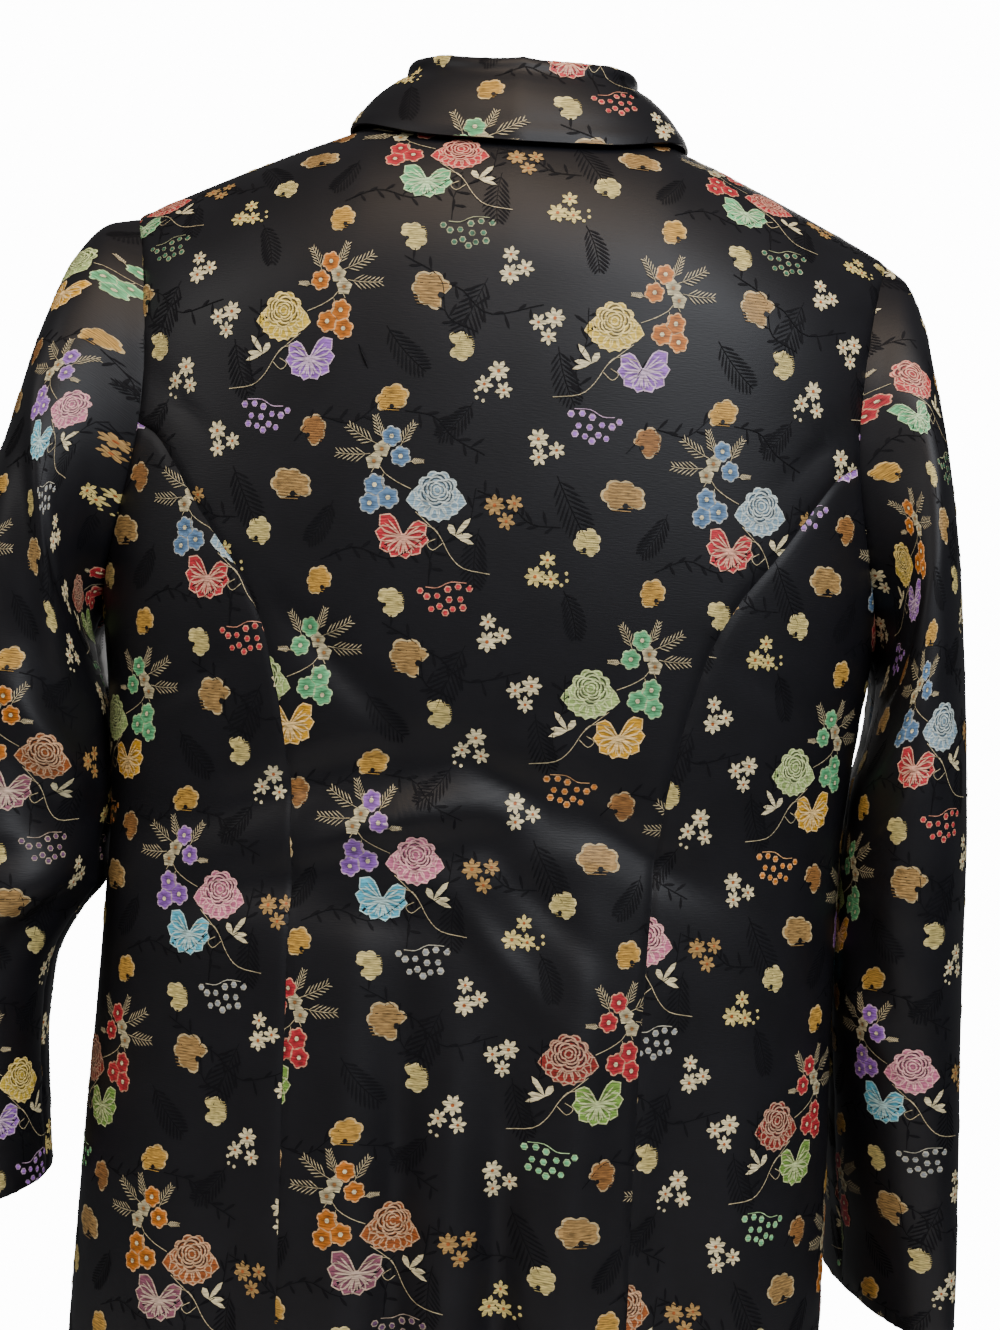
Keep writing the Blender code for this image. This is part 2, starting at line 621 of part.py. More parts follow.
def front(hand, material):
    """The hidden front, with the lap that runs past the centre. The right one lies on the left one."""
    edge_angle = 180 - math.degrees(math.asin(LAP_END / NECK_HALF_WIDTH))
    angles = np.linspace(edge_angle, 90, FRONT_NECK_COLUMNS + 1)
    neck = neck_places(hand * angles, FRONT)
    top = np.concatenate([neck[:-1], shoulder_places(hand, FRONT)])
    arm, seam = armhole_places(hand, FRONT), side_places(hand, FRONT)
    right = np.concatenate([arm, seam[1:]])
    hem_start = place(hand * LAP_END, HEM_DOWN, FRONT)
    left = np.linspace(top[0], hem_start, len(right))
    bottom = hem_places(left[-1], right[-1], len(top), FRONT)
    grid = between(top, bottom, left, right)
    lap = []
    for across in (-LAP, 0.0):
        angle = 180 - math.degrees(math.asin(across / NECK_HALF_WIDTH))
        start = neck_places(np.array([hand * angle]), FRONT)[0]
        end = place(hand * across, HEM_DOWN, FRONT)
        lap.append(np.linspace(start, end, len(right)))
    grid = np.concatenate([np.stack(lap, 1), grid], 1)
    outer, inner = lift_off(grid, FRONT)
    if hand == RIGHT:
        step = (CLOTH + LAP_GAP) / CLOTH * (outer - inner)
        outer[:, :3] += step[:, :3]
        inner[:, :3] += step[:, :3]
    count = len(ARM_ANGLES)
    rim, inward = rim_part(hand, FRONT, 0, count - 1)
    outer[:count, -1], inner[:count, -1] = rim, rim + CLOTH * inward
    draw_back_part(outer, inner, "right", slice(count - 1, None))
    draw_back_part(outer, inner, "top", slice(-SHOULDER_COLUMNS - 1, None))
    name = "front_left" if hand == LEFT else "front_right"
    return wall(name, outer, inner, material)


def grid_outwards(points, round_tube=False):
    """Directions square to a grid of points."""
    if round_tube:
        along = np.roll(points, -1, 1) - np.roll(points, 1, 1)
    else:
        along = np.gradient(points, axis=1)
    return unit(np.cross(along, np.gradient(points, axis=0)))


def sleeve_rings(hand):
    angles = np.radians([*ARM_ANGLES, *(360 - angle for angle in ARM_ANGLES[-2:0:-1])])
    along = power(np.cos(angles), 2 / SLEEVE_SQUARENESS)
    aside = power(np.sin(angles), 2 / SLEEVE_SQUARENESS)
    rings = []
    for ring in SLEEVES[hand]:
        y = -ring.half_depth * aside
        x = (ring.outer + ring.inner) / 2 + (ring.outer - ring.inner) / 2 * along
        down = (ring.outer_down + ring.inner_down) / 2
        down = down + (ring.outer_down - ring.inner_down) / 2 * along
        rings.append(np.stack([hand * (x + ring.turn * y), ring.middle_y + y, -down], -1))
    return np.array(rings)


def sleeve(hand, material):
    rings = sleeve_rings(hand)
    rim, inward = armhole_rim(hand)
    fade = np.maximum(1 - np.arange(len(rings)) / CAP_RINGS, 0) ** 2
    rings = rings + fade[:, None, None] * (rim - rings[0])
    outwards = grid_outwards(rings, round_tube=True) * hand
    number = np.arange(len(rings))[:, None]
    angles = np.array([*ARM_ANGLES, *(360 - angle for angle in ARM_ANGLES[-2:0:-1])])[None]
    height = np.zeros(rings.shape[:2])
    for fold in SLEEVE_FOLDS:
        if fold.side == hand:
            off = number - fold.ring - fold.tilt * (angles - fold.angle)
            height += fold.out * bump(off, fold.half_rings) * bump(angles - fold.angle, fold.half_angle)
    height *= ease(number, 2, 5)
    outer = rings + outwards * height[..., None]
    inner = outer - CLOTH * grid_outwards(outer, round_tube=True) * hand
    outer[0] = rim + SEAM_GAP * np.array([hand, 0, 0])
    inner[0] = outer[0] + CLOTH * inward
    name = "sleeve_left" if hand == LEFT else "sleeve_right"
    return wall(name, outer, inner, material, round_tube=True)


def collar_angles():
    back = np.linspace(-90, 90, NECK_COLUMNS + 1)
    edge_angle = 180 - math.degrees(math.asin(LAP_END / NECK_HALF_WIDTH))
    side = np.linspace(90, edge_angle, FRONT_NECK_COLUMNS + 1)[1:]
    side = np.append(side, COLLAR_END_ANGLE)
    return np.concatenate([-side[::-1], back, side])


def neck_line(angles):
    line = np.empty((len(angles), 3))
    for side, chosen in ((BACK, np.abs(angles) <= 90), (FRONT, np.abs(angles) > 90)):
        places = neck_places(angles[chosen], side)
        line[chosen] = cloth_point(places[:, 0], places[:, 1], side)
    return line


def neck_outwards(angles):
    turn = np.radians(angles)
    deep = np.where(np.abs(angles) <= 90, NECK_DEPTH[BACK], NECK_DEPTH[FRONT])
    flat = np.stack([np.sin(turn) / NECK_HALF_WIDTH, -np.cos(turn) / deep, np.zeros(len(turn))], -1)
    return unit(flat)


def fold_line(angles):
    """The outer edge of the stand's top, where the collar folds over."""
    around = np.abs(angles)
    rise = from_table(around, COLLAR, "angle", "stand")[:, None] * np.array([0, 0, 1])
    lean = from_table(around, COLLAR, "angle", "lean")[:, None] * neck_outwards(angles)
    return neck_line(angles) + rise - lean


def collar_stand(material):
    angles = collar_angles()
    lift = SEAM_GAP + LAP_LIFT * ease(np.abs(angles), LAP_LIFT_START, LAP_LIFT_FULL)
    foot = neck_line(angles) + lift[:, None] * np.array([0, 0, 1])
    top = fold_line(angles)
    middle = foot * 0.45 + top * 0.55 + 0.0008 * neck_outwards(angles)
    outer = np.stack([foot, middle, top])
    inner = outer - CLOTH * neck_outwards(angles)
    return wall("collar_stand", outer, inner, material)


def edge_line(angles):
    """The collar's outer edge, just clear of the shoulders it lies on."""
    around, hand = np.abs(angles), np.sign(angles)
    across = hand * from_table(around, COLLAR, "angle", "edge_across")
    down = from_table(around, COLLAR, "angle", "edge_down")
    line = np.empty((len(angles), 3))
    for side, chosen in ((BACK, around <= 90), (FRONT, around > 90)):
        places = place(across[chosen], down[chosen], side)
        points = cloth_point(places[:, 0], places[:, 1], side)
        line[chosen] = points + FALL_LIFT * cloth_outwards(places[:, 0], places[:, 1], side)
    line += LAP_LIFT * ease(around, LAP_LIFT_START - 20, LAP_LIFT_FULL)[:, None] * np.array([0, 1, 0])
    return line


def collar_fall(material):
    angles = collar_angles()
    fold, edge, away = fold_line(angles), edge_line(angles), neck_outwards(angles)
    up = np.array([0, 0, 1])
    rows = [fold + roll.out * away + roll.up * up for roll in COLLAR_ROLL]
    faces = [roll.face_out * away + roll.face_up * up for roll in COLLAR_ROLL]
    start = rows[-1]
    for row in range(1, FALL_ROWS + 1):
        part = row / FALL_ROWS
        belly = 0.0030 * math.sin(math.pi * part)
        rows.append(start + (edge - start) * part + belly * (away + 0.5 * up))
    outer = np.stack(rows)
    outwards = grid_outwards(outer)
    outwards = outwards * np.sign((outwards * away).sum(-1, keepdims=True))
    outwards[: len(faces)] = unit(np.stack(faces))
    return wall("collar_fall", outer, outer - CLOTH * outwards, material)


def button(number, material):
    """A domed button covered in the same cloth, on the lap."""
    down = FIRST_BUTTON_DOWN + number * BUTTON_SPACING
    turn, drop = place(0.0, down, FRONT)
    seat = cloth_point(turn, drop, FRONT)
    out = cloth_outwards(turn, drop, FRONT)
    seat = seat + (CLOTH + LAP_GAP + BUTTON_SEAT) * out
    across = np.array([1.0, 0, 0])
    upwards = np.cross(out, across)
    angles = np.radians(np.arange(BUTTON_SIDES) * 360 / BUTTON_SIDES)
    circle = np.cos(angles)[:, None] * across + np.sin(angles)[:, None] * upwards
    levels = ((0.86, 0.0), (1.0, 0.35), (0.82, 0.80), (0.45, 0.97))
    points = [seat + BUTTON_RADIUS * wide * circle + BUTTON_HEIGHT * high * out for wide, high in levels]
    points = np.concatenate([*points, [seat, seat + BUTTON_HEIGHT * out]])
    foot, crown = len(points) - 2, len(points) - 1
    faces = []
    for j in range(BUTTON_SIDES):
        k = (j + 1) % BUTTON_SIDES
        faces.append((j, foot, k))
        for level in range(len(levels) - 1):
            a, b = level * BUTTON_SIDES + j, level * BUTTON_SIDES + k
            faces.extend([(a, b, b + BUTTON_SIDES), (a, b + BUTTON_SIDES, a + BUTTON_SIDES)])
        top = (len(levels) - 1) * BUTTON_SIDES
        faces.append((top + j, top + k, crown))
    faces = np.array(faces)
    corners = points[faces] - seat
    if np.einsum("ij,ij->i", corners[:, 0], np.cross(corners[:, 1], corners[:, 2])).sum() < 0:
        faces = faces[:, ::-1]
    return new_object(f"button_{number + 1}", points, faces.tolist(), material)


def main():
    for old in list(bpy.data.objects):
        bpy.data.objects.remove(old, do_unlink=True)
    cloth = satin("black_brocade", (0.014, 0.014, 0.017), 0.38)
    covered = satin("covered_button", (0.014, 0.014, 0.017), 0.42)
    centre_back(cloth)
    for hand in (LEFT, RIGHT):
        side_back(hand, cloth)
        front(hand, cloth)
        sleeve(hand, cloth)
    collar_stand(cloth)
    collar_fall(cloth)
    for number in range(BUTTONS):
        button(number, covered)


main()
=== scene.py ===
# %% [markdown]
# # A black brocade jacket, filled out and hollow
#
# The jacket is seen from its back. Its cloth is black satin with small flowers woven in many colours.
# The measured solids give the size and the place of every panel. This lesson lays fine cloth over them,
# colours it, and weaves the pattern on top. Sizes are in metres, +Z is up, and the back looks towards -Y.

# %% Tools and the measured solids
import json
import math
from collections import namedtuple

import bpy
import mathutils
import numpy as np
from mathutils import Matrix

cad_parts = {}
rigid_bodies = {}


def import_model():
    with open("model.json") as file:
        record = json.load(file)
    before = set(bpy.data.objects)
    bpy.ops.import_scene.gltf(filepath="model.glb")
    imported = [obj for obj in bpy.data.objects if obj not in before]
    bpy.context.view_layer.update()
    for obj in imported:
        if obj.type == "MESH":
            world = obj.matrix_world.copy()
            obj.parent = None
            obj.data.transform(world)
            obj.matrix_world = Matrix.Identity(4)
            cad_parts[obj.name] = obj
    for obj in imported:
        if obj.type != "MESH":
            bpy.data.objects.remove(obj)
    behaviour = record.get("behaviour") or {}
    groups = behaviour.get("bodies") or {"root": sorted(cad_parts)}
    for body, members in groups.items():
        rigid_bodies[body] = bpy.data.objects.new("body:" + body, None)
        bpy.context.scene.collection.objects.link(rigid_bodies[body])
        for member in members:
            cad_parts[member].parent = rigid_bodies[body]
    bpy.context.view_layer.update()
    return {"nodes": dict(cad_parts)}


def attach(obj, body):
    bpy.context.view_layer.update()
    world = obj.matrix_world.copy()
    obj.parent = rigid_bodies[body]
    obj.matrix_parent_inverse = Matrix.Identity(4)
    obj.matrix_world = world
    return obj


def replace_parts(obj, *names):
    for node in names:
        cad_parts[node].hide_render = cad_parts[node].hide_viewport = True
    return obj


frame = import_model()
BACK, FRONT = -1, 1
LEFT, RIGHT = -1, 1
SIDE_NAMES = {BACK: "back", FRONT: "front"}
HAND_NAMES = {LEFT: "left", RIGHT: "right"}

# %% [markdown]
# ## Curves through short tables
#
# A tailor notes a garment as a few measures and draws smooth curves through them. The helpers here do the
# same: a table holds the measures, and a curve that never overshoots joins its rows.

# %% Curves and small helpers
TINY = 1e-12


def smooth(at, knots, values):
    """Values between the rows of a table, on a curve that never overshoots them."""
    at = np.asarray(at, float)
    knots = np.asarray(knots, float)
    values = np.asarray(values, float)
    step = np.diff(knots)
    rise = np.diff(values) / step
    slope = np.empty_like(values)
    slope[0], slope[-1] = rise[0], rise[-1]
    product = rise[:-1] * rise[1:]
    total = np.where(product > 0, rise[:-1] + rise[1:], 1.0)
    slope[1:-1] = np.where(product > 0, 2 * product / total, 0.0)
    index = np.clip(np.searchsorted(knots, at, side="right") - 1, 0, len(step) - 1)
    part = np.clip((at - knots[index]) / step[index], 0, 1)
    start, end = values[index], values[index + 1]
    lean_in, lean_out = slope[index] * step[index], slope[index + 1] * step[index]
    square, cube = part**2, part**3
    return (
        start * (2 * cube - 3 * square + 1)
        + end * (3 * square - 2 * cube)
        + lean_in * (cube - 2 * square + part)
        + lean_out * (cube - square)
    )


def rows_of(kind, table):
    """A table whose measures can be read by name."""
    return [kind(*row) for row in table]


def column(rows, name):
    return [getattr(row, name) for row in rows]


def from_table(at, rows, key, value):
    return smooth(at, column(rows, key), column(rows, value))


def ease(at, start, end):
    """0 before start, 1 after end, and smooth between."""
    part = np.clip((at - start) / (end - start), 0, 1)
    return part * part * (3 - 2 * part)


def bump(distance, half_width):
    return np.exp(-((distance / half_width) ** 2))


def power(value, exponent):
    return np.sign(value) * np.abs(value) ** exponent


def unit(vectors):
    return vectors / np.maximum(np.linalg.norm(vectors, axis=-1, keepdims=True), TINY)

# %% [markdown]
# ## The form that the body panels lie on
#
# Filled out, the jacket is a squarish oval at each level, closed over the top along the shoulders. Every
# place on it has two numbers, as on a map: turn, round the body from the centre, and drop, the length of
# cloth down from the shoulder. A formula is used, and not a sculpted mesh, because all panels and the
# collar then meet on exactly the same lines.

# %% Body measures
RIGHT_ANGLE = math.pi / 2
SQUARENESS = 2.5
ROUNDING = {BACK: 0.100, FRONT: 0.108}
CHEST_DEPTH = 0.098
HEM_DOWN = 0.740
# The height of a point on the form is found in a few tries, from this far below the ridge.
FIRST_GUESS = 0.03
TRIES, PLAN_TRIES = 8, 12
NEARLY_NONE = 1e-9

Girth = namedtuple("Girth", "down half_width back_depth front_depth")
GIRTHS = rows_of(Girth, (
    (-0.02, 0.2000, 0.0850, 0.060),
    (0.00, 0.2050, 0.0880, 0.066),
    (0.06, 0.2105, 0.0930, 0.082),
    (0.15, 0.2125, 0.0980, 0.100),
    (0.20, 0.2125, 0.0975, 0.108),
    (0.26, 0.2095, 0.0950, 0.112),
    (0.33, 0.2015, 0.0880, 0.106),
    (0.39, 0.1975, 0.0820, 0.100),
    (0.46, 0.1980, 0.0870, 0.101),
    (0.56, 0.2005, 0.0950, 0.104),
    (0.66, 0.2020, 0.0990, 0.107),
    (0.75, 0.2030, 0.1010, 0.108),
))

Ridge = namedtuple("Ridge", "across down")
SHOULDER_RIDGE = rows_of(Ridge, (
    (0.000, -0.0040), (0.074, 0.0060), (0.090, 0.0125), (0.130, 0.0290), (0.170, 0.0465), (0.205, 0.0620),
    (0.225, 0.0710),
))

# %% Points of the form
def half_width(down):
    return from_table(down, GIRTHS, "down", "half_width")


def depth(down, side):
    return from_table(down, GIRTHS, "down", SIDE_NAMES[side] + "_depth")


def ridge(across):
    return from_table(np.abs(across), SHOULDER_RIDGE, "across", "down")


def shoulder_arc(side):
    """Length of cloth from the ridge to where the back or front hangs straight."""
    return RIGHT_ANGLE * math.sqrt((ROUNDING[side] ** 2 + CHEST_DEPTH**2) / 2)


def form_point(turn, drop, side):
    """The bare form: turn is 0 at the centre and a right angle at the side, drop runs down from the ridge."""
    turn, drop = np.broadcast_arrays(np.asarray(turn, float), np.asarray(drop, float))
    arc = shoulder_arc(side)
    angle = np.minimum(drop / arc, 1) * RIGHT_ANGLE
    fall = ROUNDING[side] * (1 - np.cos(angle)) + np.maximum(drop - arc, 0)
    across = power(np.sin(turn), 2 / SQUARENESS)
    inward = power(np.cos(turn), 2 / SQUARENESS)
    down = fall + FIRST_GUESS
    for _ in range(TRIES):
        down = ridge(half_width(down) * across) + fall
    x = half_width(down) * across
    y = side * depth(down, side) * np.sin(angle) * inward
    return np.stack([x, y, -down], -1)


def turn_at(across, down):
    share = np.clip(np.abs(across) / half_width(down), 0, 1)
    return np.sign(across) * np.arcsin(share ** (SQUARENESS / 2))


def drop_at(across, down, side):
    fall = np.maximum(down - ridge(across), 0)
    rounding, arc = ROUNDING[side], shoulder_arc(side)
    angle = np.arccos(np.clip(1 - fall / rounding, 0, 1))
    return np.where(fall < rounding, angle / RIGHT_ANGLE * arc, arc + fall - rounding)


def place(across, down, side):
    """The form's own coordinates, turn and drop, of a point given from the back or front."""
    across, down = np.broadcast_arrays(np.asarray(across, float), np.asarray(down, float))
    return np.stack([turn_at(across, down), drop_at(across, down, side)], -1)


def place_in_plan(across, deep, side):
    """Turn and drop of the point over a place in plan, near the top of the form."""
    down = ridge(across) + FIRST_GUESS
    for _ in range(PLAN_TRIES):
        turn = turn_at(across, down)
        reach = depth(down, side) * np.maximum(np.cos(turn), NEARLY_NONE) ** (2 / SQUARENESS)
        angle = np.arcsin(np.clip(deep / reach, 0, 1))
        down = ridge(across) + ROUNDING[side] * (1 - np.cos(angle))
    return np.stack([turn, angle / RIGHT_ANGLE * shoulder_arc(side)], -1)

# %% [markdown]
# ## Folds and creases
#
# Below the waist the cloth is wider than the form, so it falls in soft vertical folds. At the small of the
# back it rests and makes short slanting creases. Each one is a row: where it runs, how wide and how high it
# is. They are placed one by one, because even noise would not look like this jacket.

# %% Folds placed one by one
Fold = namedtuple("Fold", "side across_top across_hem start full half_width out")
BODY_FOLDS = rows_of(Fold, (
    (BACK, -0.058, -0.050, 0.38, 0.52, 0.014, 0.0050),
    (BACK, -0.029, -0.024, 0.41, 0.56, 0.011, -0.0085),
    (BACK, -0.003, 0.002, 0.42, 0.58, 0.011, 0.0055),
    (BACK, 0.023, 0.028, 0.45, 0.60, 0.011, -0.0100),
    (BACK, 0.060, 0.056, 0.36, 0.50, 0.016, 0.0070),
    (BACK, 0.112, 0.104, 0.40, 0.60, 0.017, -0.0060),
    (BACK, 0.150, 0.146, 0.42, 0.64, 0.020, 0.0045),
    (BACK, -0.112, -0.108, 0.42, 0.62, 0.018, -0.0050),
    (BACK, -0.150, -0.148, 0.44, 0.66, 0.020, 0.0050),
    (FRONT, 0.060, 0.062, 0.42, 0.62, 0.018, -0.0060),
    (FRONT, 0.105, 0.110, 0.38, 0.58, 0.020, 0.0060),
    (FRONT, 0.150, 0.152, 0.44, 0.64, 0.018, -0.0050),
    (FRONT, -0.064, -0.060, 0.40, 0.60, 0.018, -0.0055),
    (FRONT, -0.110, -0.112, 0.40, 0.60, 0.020, 0.0060),
    (FRONT, -0.150, -0.154, 0.44, 0.66, 0.018, -0.0050),
))
# Creases across the small of the back, where the cloth rests. The finer ones are only in this model.
Crease = namedtuple("Crease", "across down tilt half_length half_width out")
BACK_CREASES = rows_of(Crease, (
    (-0.062, 0.372, -0.55, 0.055, 0.011, -0.0050),
    (0.010, 0.352, 0.05, 0.060, 0.012, -0.0040),
    (-0.020, 0.392, -0.10, 0.070, 0.013, 0.0040),
    (0.075, 0.380, 0.40, 0.050, 0.012, -0.0035),
))
FINE_CREASES = rows_of(Crease, (
    (-0.080, 0.356, -0.36, 0.060, 0.0120, -0.0060),
    (-0.066, 0.380, -0.44, 0.052, 0.0110, 0.0045),
    (-0.092, 0.404, -0.30, 0.040, 0.0120, -0.0050),
    (-0.070, 0.300, 0.80, 0.032, 0.0110, -0.0038),
    (-0.030, 0.372, -0.24, 0.046, 0.0100, 0.0050),
    (-0.022, 0.392, -0.20, 0.050, 0.0110, -0.0052),
    (-0.050, 0.420, 0.10, 0.044, 0.0110, -0.0036),
    (0.014, 0.352, 0.62, 0.032, 0.0100, -0.0026),
    (0.034, 0.408, 0.85, 0.034, 0.0100, -0.0025),
    (0.016, 0.436, 1.00, 0.030, 0.0100, 0.0024),
    (0.076, 0.376, 0.62, 0.030, 0.0110, -0.0032),
    (0.150, 0.300, 0.55, 0.024, 0.0050, -0.0014),
    (-0.150, 0.312, -0.60, 0.024, 0.0050, -0.0014),
    (-0.166, 0.168, 0.90, 0.020, 0.0060, -0.0014),
    (0.166, 0.172, -0.90, 0.020, 0.0060, -0.0014),
))

# %% Height of the folds
# Directions on the form are measured over this short way.
SHORT_WAY = 1e-4


def fold_height(points, side):
    """How far the folds lift the cloth at these points of the bare form."""
    across, down = points[..., 0], -points[..., 2]
    height = np.zeros_like(across)
    for fold in BODY_FOLDS:
        if fold.side != side:
            continue
        part = ease(down, fold.start, HEM_DOWN)
        line = fold.across_top + (fold.across_hem - fold.across_top) * part
        grown = ease(down, fold.start, fold.full)
        height = height + fold.out * grown * bump(across - line, fold.half_width)
    if side == BACK:
        for crease in BACK_CREASES + FINE_CREASES:
            along = across - crease.across
            off = down - crease.down - crease.tilt * along
            height = height + crease.out * bump(along, crease.half_length) * bump(off, crease.half_width)
    return height


def slopes(surface, turn, drop, side):
    """Directions square to a surface at these places, outwards."""
    along = surface(turn + SHORT_WAY, drop, side) - surface(turn - SHORT_WAY, drop, side)
    downwards = surface(turn, drop + SHORT_WAY, side) - surface(turn, drop - SHORT_WAY, side)
    return unit(np.cross(along, downwards)) * side


def cloth_point(turn, drop, side):
    """The outer face of the cloth, folds included."""
    bare = form_point(turn, drop, side)
    return bare + slopes(form_point, turn, drop, side) * fold_height(bare, side)[..., None]


def cloth_outwards(turn, drop, side):
    return slopes(cloth_point, turn, drop, side)

# %% [markdown]
# ## Seams
#
# The back is cut by two princess seams that leave the armholes and run down to the hem. With the shoulder
# seams, side seams, armholes and neckline they are the edges of all the panels. Each line is drawn once and
# used by both panels that it joins, as a maker cuts both along the same chalk line.

# %% Seam measures
NECK_HALF_WIDTH = 0.0742
NECK_DEPTH = {BACK: 0.060, FRONT: 0.075}
SHOULDER_ACROSS = 0.204
UNDERARM_DOWN = 0.275
ARMHOLE_MIDDLE_DOWN = 0.160

ArmEdge = namedtuple("ArmEdge", "down back_across front_across")
ARM_EDGES = rows_of(ArmEdge, (
    (0.0615, 0.2040, 0.2040), (0.0750, 0.1985, 0.1970), (0.1050, 0.1900, 0.1870), (0.1400, 0.1845, 0.1810),
    (0.1600, 0.1838, 0.1800),
))
# Angles of the armhole's points, from the shoulder over the back to the underarm.
ARM_ANGLES = (0, 14, 28, 42, 57, 76, 97, 112, 127, 141, 154, 167, 180)
PRINCESS_START = 6

Seam = namedtuple("Seam", "down across")
PRINCESS_SEAM = rows_of(Seam, (
    (0.188, 0.1735), (0.203, 0.1620), (0.230, 0.1435), (0.255, 0.1245), (0.280, 0.1115), (0.300, 0.1055),
    (0.330, 0.0985), (0.370, 0.0930), (0.420, 0.0900), (0.500, 0.0880), (0.620, 0.0865), (0.740, 0.0870),
))
HEM_DRIFT = 0.006
DRIFT_START = 0.42
ROWS_BELOW_ARM = 20
NECK_COLUMNS = 12
SHOULDER_COLUMNS = 6
FRONT_NECK_COLUMNS = 6
LAP = 0.016
LAP_END = 0.018

# %% Seam lines
# Each cell of the measured solids becomes this many finer ones each way.
FINER = 5
# A curve is drawn with this many points before even ones are read off it.
LINE_POINTS = 400


def finer(values):
    """The same run of numbers with more of them between."""
    at = np.arange((len(values) - 1) * FINER + 1) / FINER
    return np.interp(at, np.arange(len(values)), values)


def evenly(line, values, count):
    """The values that belong to a line's points, read off at even distances along it."""
    length = np.concatenate([[0], np.cumsum(np.linalg.norm(np.diff(line, axis=0), axis=1))])
    wanted = np.linspace(0, length[-1], count)
    return np.stack([np.interp(wanted, length, one) for one in values.T], -1)


def armhole(side):
    """Across and down of the right armhole's points on the back or front, shoulder to underarm."""
    name = SIDE_NAMES[side] + "_across"
    top = float(ridge(SHOULDER_ACROSS))
    middle = (top + UNDERARM_DOWN) / 2
    down = middle - np.cos(np.radians(finer(ARM_ANGLES))) * (UNDERARM_DOWN - top) / 2
    across = from_table(down, ARM_EDGES, "down", name)
    across[0] = SHOULDER_ACROSS
    middle_across = getattr(ARM_EDGES[-1], name)
    turn = turn_at(middle_across, ARMHOLE_MIDDLE_DOWN)
    widest = depth(ARMHOLE_MIDDLE_DOWN, side) * np.cos(turn) ** (2 / SQUARENESS)
    part = np.clip((down - ARMHOLE_MIDDLE_DOWN) / (UNDERARM_DOWN - ARMHOLE_MIDDLE_DOWN), 0, 1)
    deep = widest * np.sqrt(1 - part**2)
    share = np.clip(deep / depth(down, side), 0, 1)
    lower = half_width(down) * (1 - share**SQUARENESS) ** (1 / SQUARENESS)
    return np.stack([np.where(down > ARMHOLE_MIDDLE_DOWN, lower, across), down], -1)


def armhole_places(hand, side):
    line = armhole(side)
    return place(hand * line[:, 0], line[:, 1], side)


def princess_places(hand):
    """The seam from the back of the armhole to the hem."""
    start = armhole(BACK)[PRINCESS_START * FINER]
    downs = [start[1], *column(PRINCESS_SEAM, "down")]
    acrosses = [start[0], *column(PRINCESS_SEAM, "across")]
    down = np.linspace(start[1], HEM_DOWN, LINE_POINTS)
    line = np.stack([smooth(down, downs, acrosses), down], -1)
    line = evenly(line, line, ROWS_BELOW_ARM * FINER + 1)
    drift = HEM_DRIFT * ease(line[:, 1], DRIFT_START, HEM_DOWN)
    return place(hand * line[:, 0] + drift, line[:, 1], BACK)


def side_places(hand, side):
    down = np.linspace(UNDERARM_DOWN, HEM_DOWN, ROWS_BELOW_ARM * FINER + 1)
    return place(hand * half_width(down), down, side)


def neck_places(angles, side):
    """Points of the neckline at angles round the neck from its centre back."""
    turn = np.radians(angles)
    across = NECK_HALF_WIDTH * np.sin(turn)
    deep = NECK_DEPTH[side] * np.abs(np.cos(turn))
    places = place_in_plan(across, deep, side)
    places[np.isclose(np.abs(np.sin(turn)), 1), 1] = 0
    return places


def shoulder_places(hand, side):
    across = np.linspace(NECK_HALF_WIDTH, SHOULDER_ACROSS, SHOULDER_COLUMNS * FINER + 1)
    return place(hand * across, ridge(across), side)


def hem_places(start, end, count, side):
    """The hem between two places of it, level all the way and evenly spaced."""
    turn = np.linspace(start[0], end[0], LINE_POINTS)
    across = half_width(HEM_DOWN) * power(np.sin(turn), 2 / SQUARENESS)
    places = place(across, HEM_DOWN, side)
    return evenly(form_point(places[:, 0], places[:, 1], side), places, count)


def share_of(values):
    """How far along each value lies between the first and the last."""
    return (values - values[0]) / (values[-1] - values[0])


def between(top, bottom, left, right):
    """The places of a panel inside its four edges: its lines never cross."""
    u = np.linspace(0, 1, len(top))[None, :]
    v = np.linspace(0, 1, len(left))[:, None]
    share = (1 - v) * share_of(top[:, 0])[None] + v * share_of(bottom[:, 0])[None]
    turn = left[:, :1] + (right[:, :1] - left[:, :1]) * share
    part = (1 - u) * share_of(left[:, 1])[:, None] + u * share_of(right[:, 1])[:, None]
    drop = top[None, :, 1] + (bottom[None, :, 1] - top[None, :, 1]) * part
    return np.stack([turn, drop], -1)

# %% [markdown]
# ## The flat map of the cloth
#
# Flowers are woven before the cloth is cut, so they follow the cloth and not the body. Every panel gets a
# map in metres, across and up, as it would lie flat on the cutting table. It is measured along the form, so
# nothing woven on it is stretched.

# %% Measuring along the cloth
MAP_STEPS = 17


def length_along(points, axis):
    """Length of cloth along each line of a grid from its start."""
    step = np.linalg.norm(np.diff(points, axis=axis), axis=-1)
    start = np.zeros_like(np.take(step, [0], axis))
    return np.concatenate([start, np.cumsum(step, axis)], axis)


def edge_distance(points):
    """How far each point is from the nearest edge, in metres."""
    nearest = np.full(points.shape[:2], np.inf)
    for axis in (0, 1):
        length = length_along(points, axis)
        whole = np.take(length, [-1], axis)
        nearest = np.minimum(nearest, np.minimum(length, whole - length))
    return nearest


def body_map(grid, side):
    """Across and up on the flat cloth, in metres, of places of the body."""
    turn, drop = grid[..., 0], grid[..., 1]
    parts = np.linspace(0, 1, MAP_STEPS)
    line = form_point(turn[..., None] * parts, drop[..., None], side)
    across = np.linalg.norm(np.diff(line, axis=-2), axis=-1).sum(-1) * np.sign(turn)
    down = drop + ridge(form_point(turn, drop, side)[..., 0])
    return np.stack([across * -side, -down], -1)

# %% [markdown]
# ## Panels of the body
#
# A panel is a grid of places between its four edges, lifted onto the form. Close to a seam the cloth dips
# and puckers a little, because the stitches pull it down, so extra lines of the grid run beside each edge.
# A closed wall of cloth is built from an outer and an inner grid, as the light falls on the inside too.

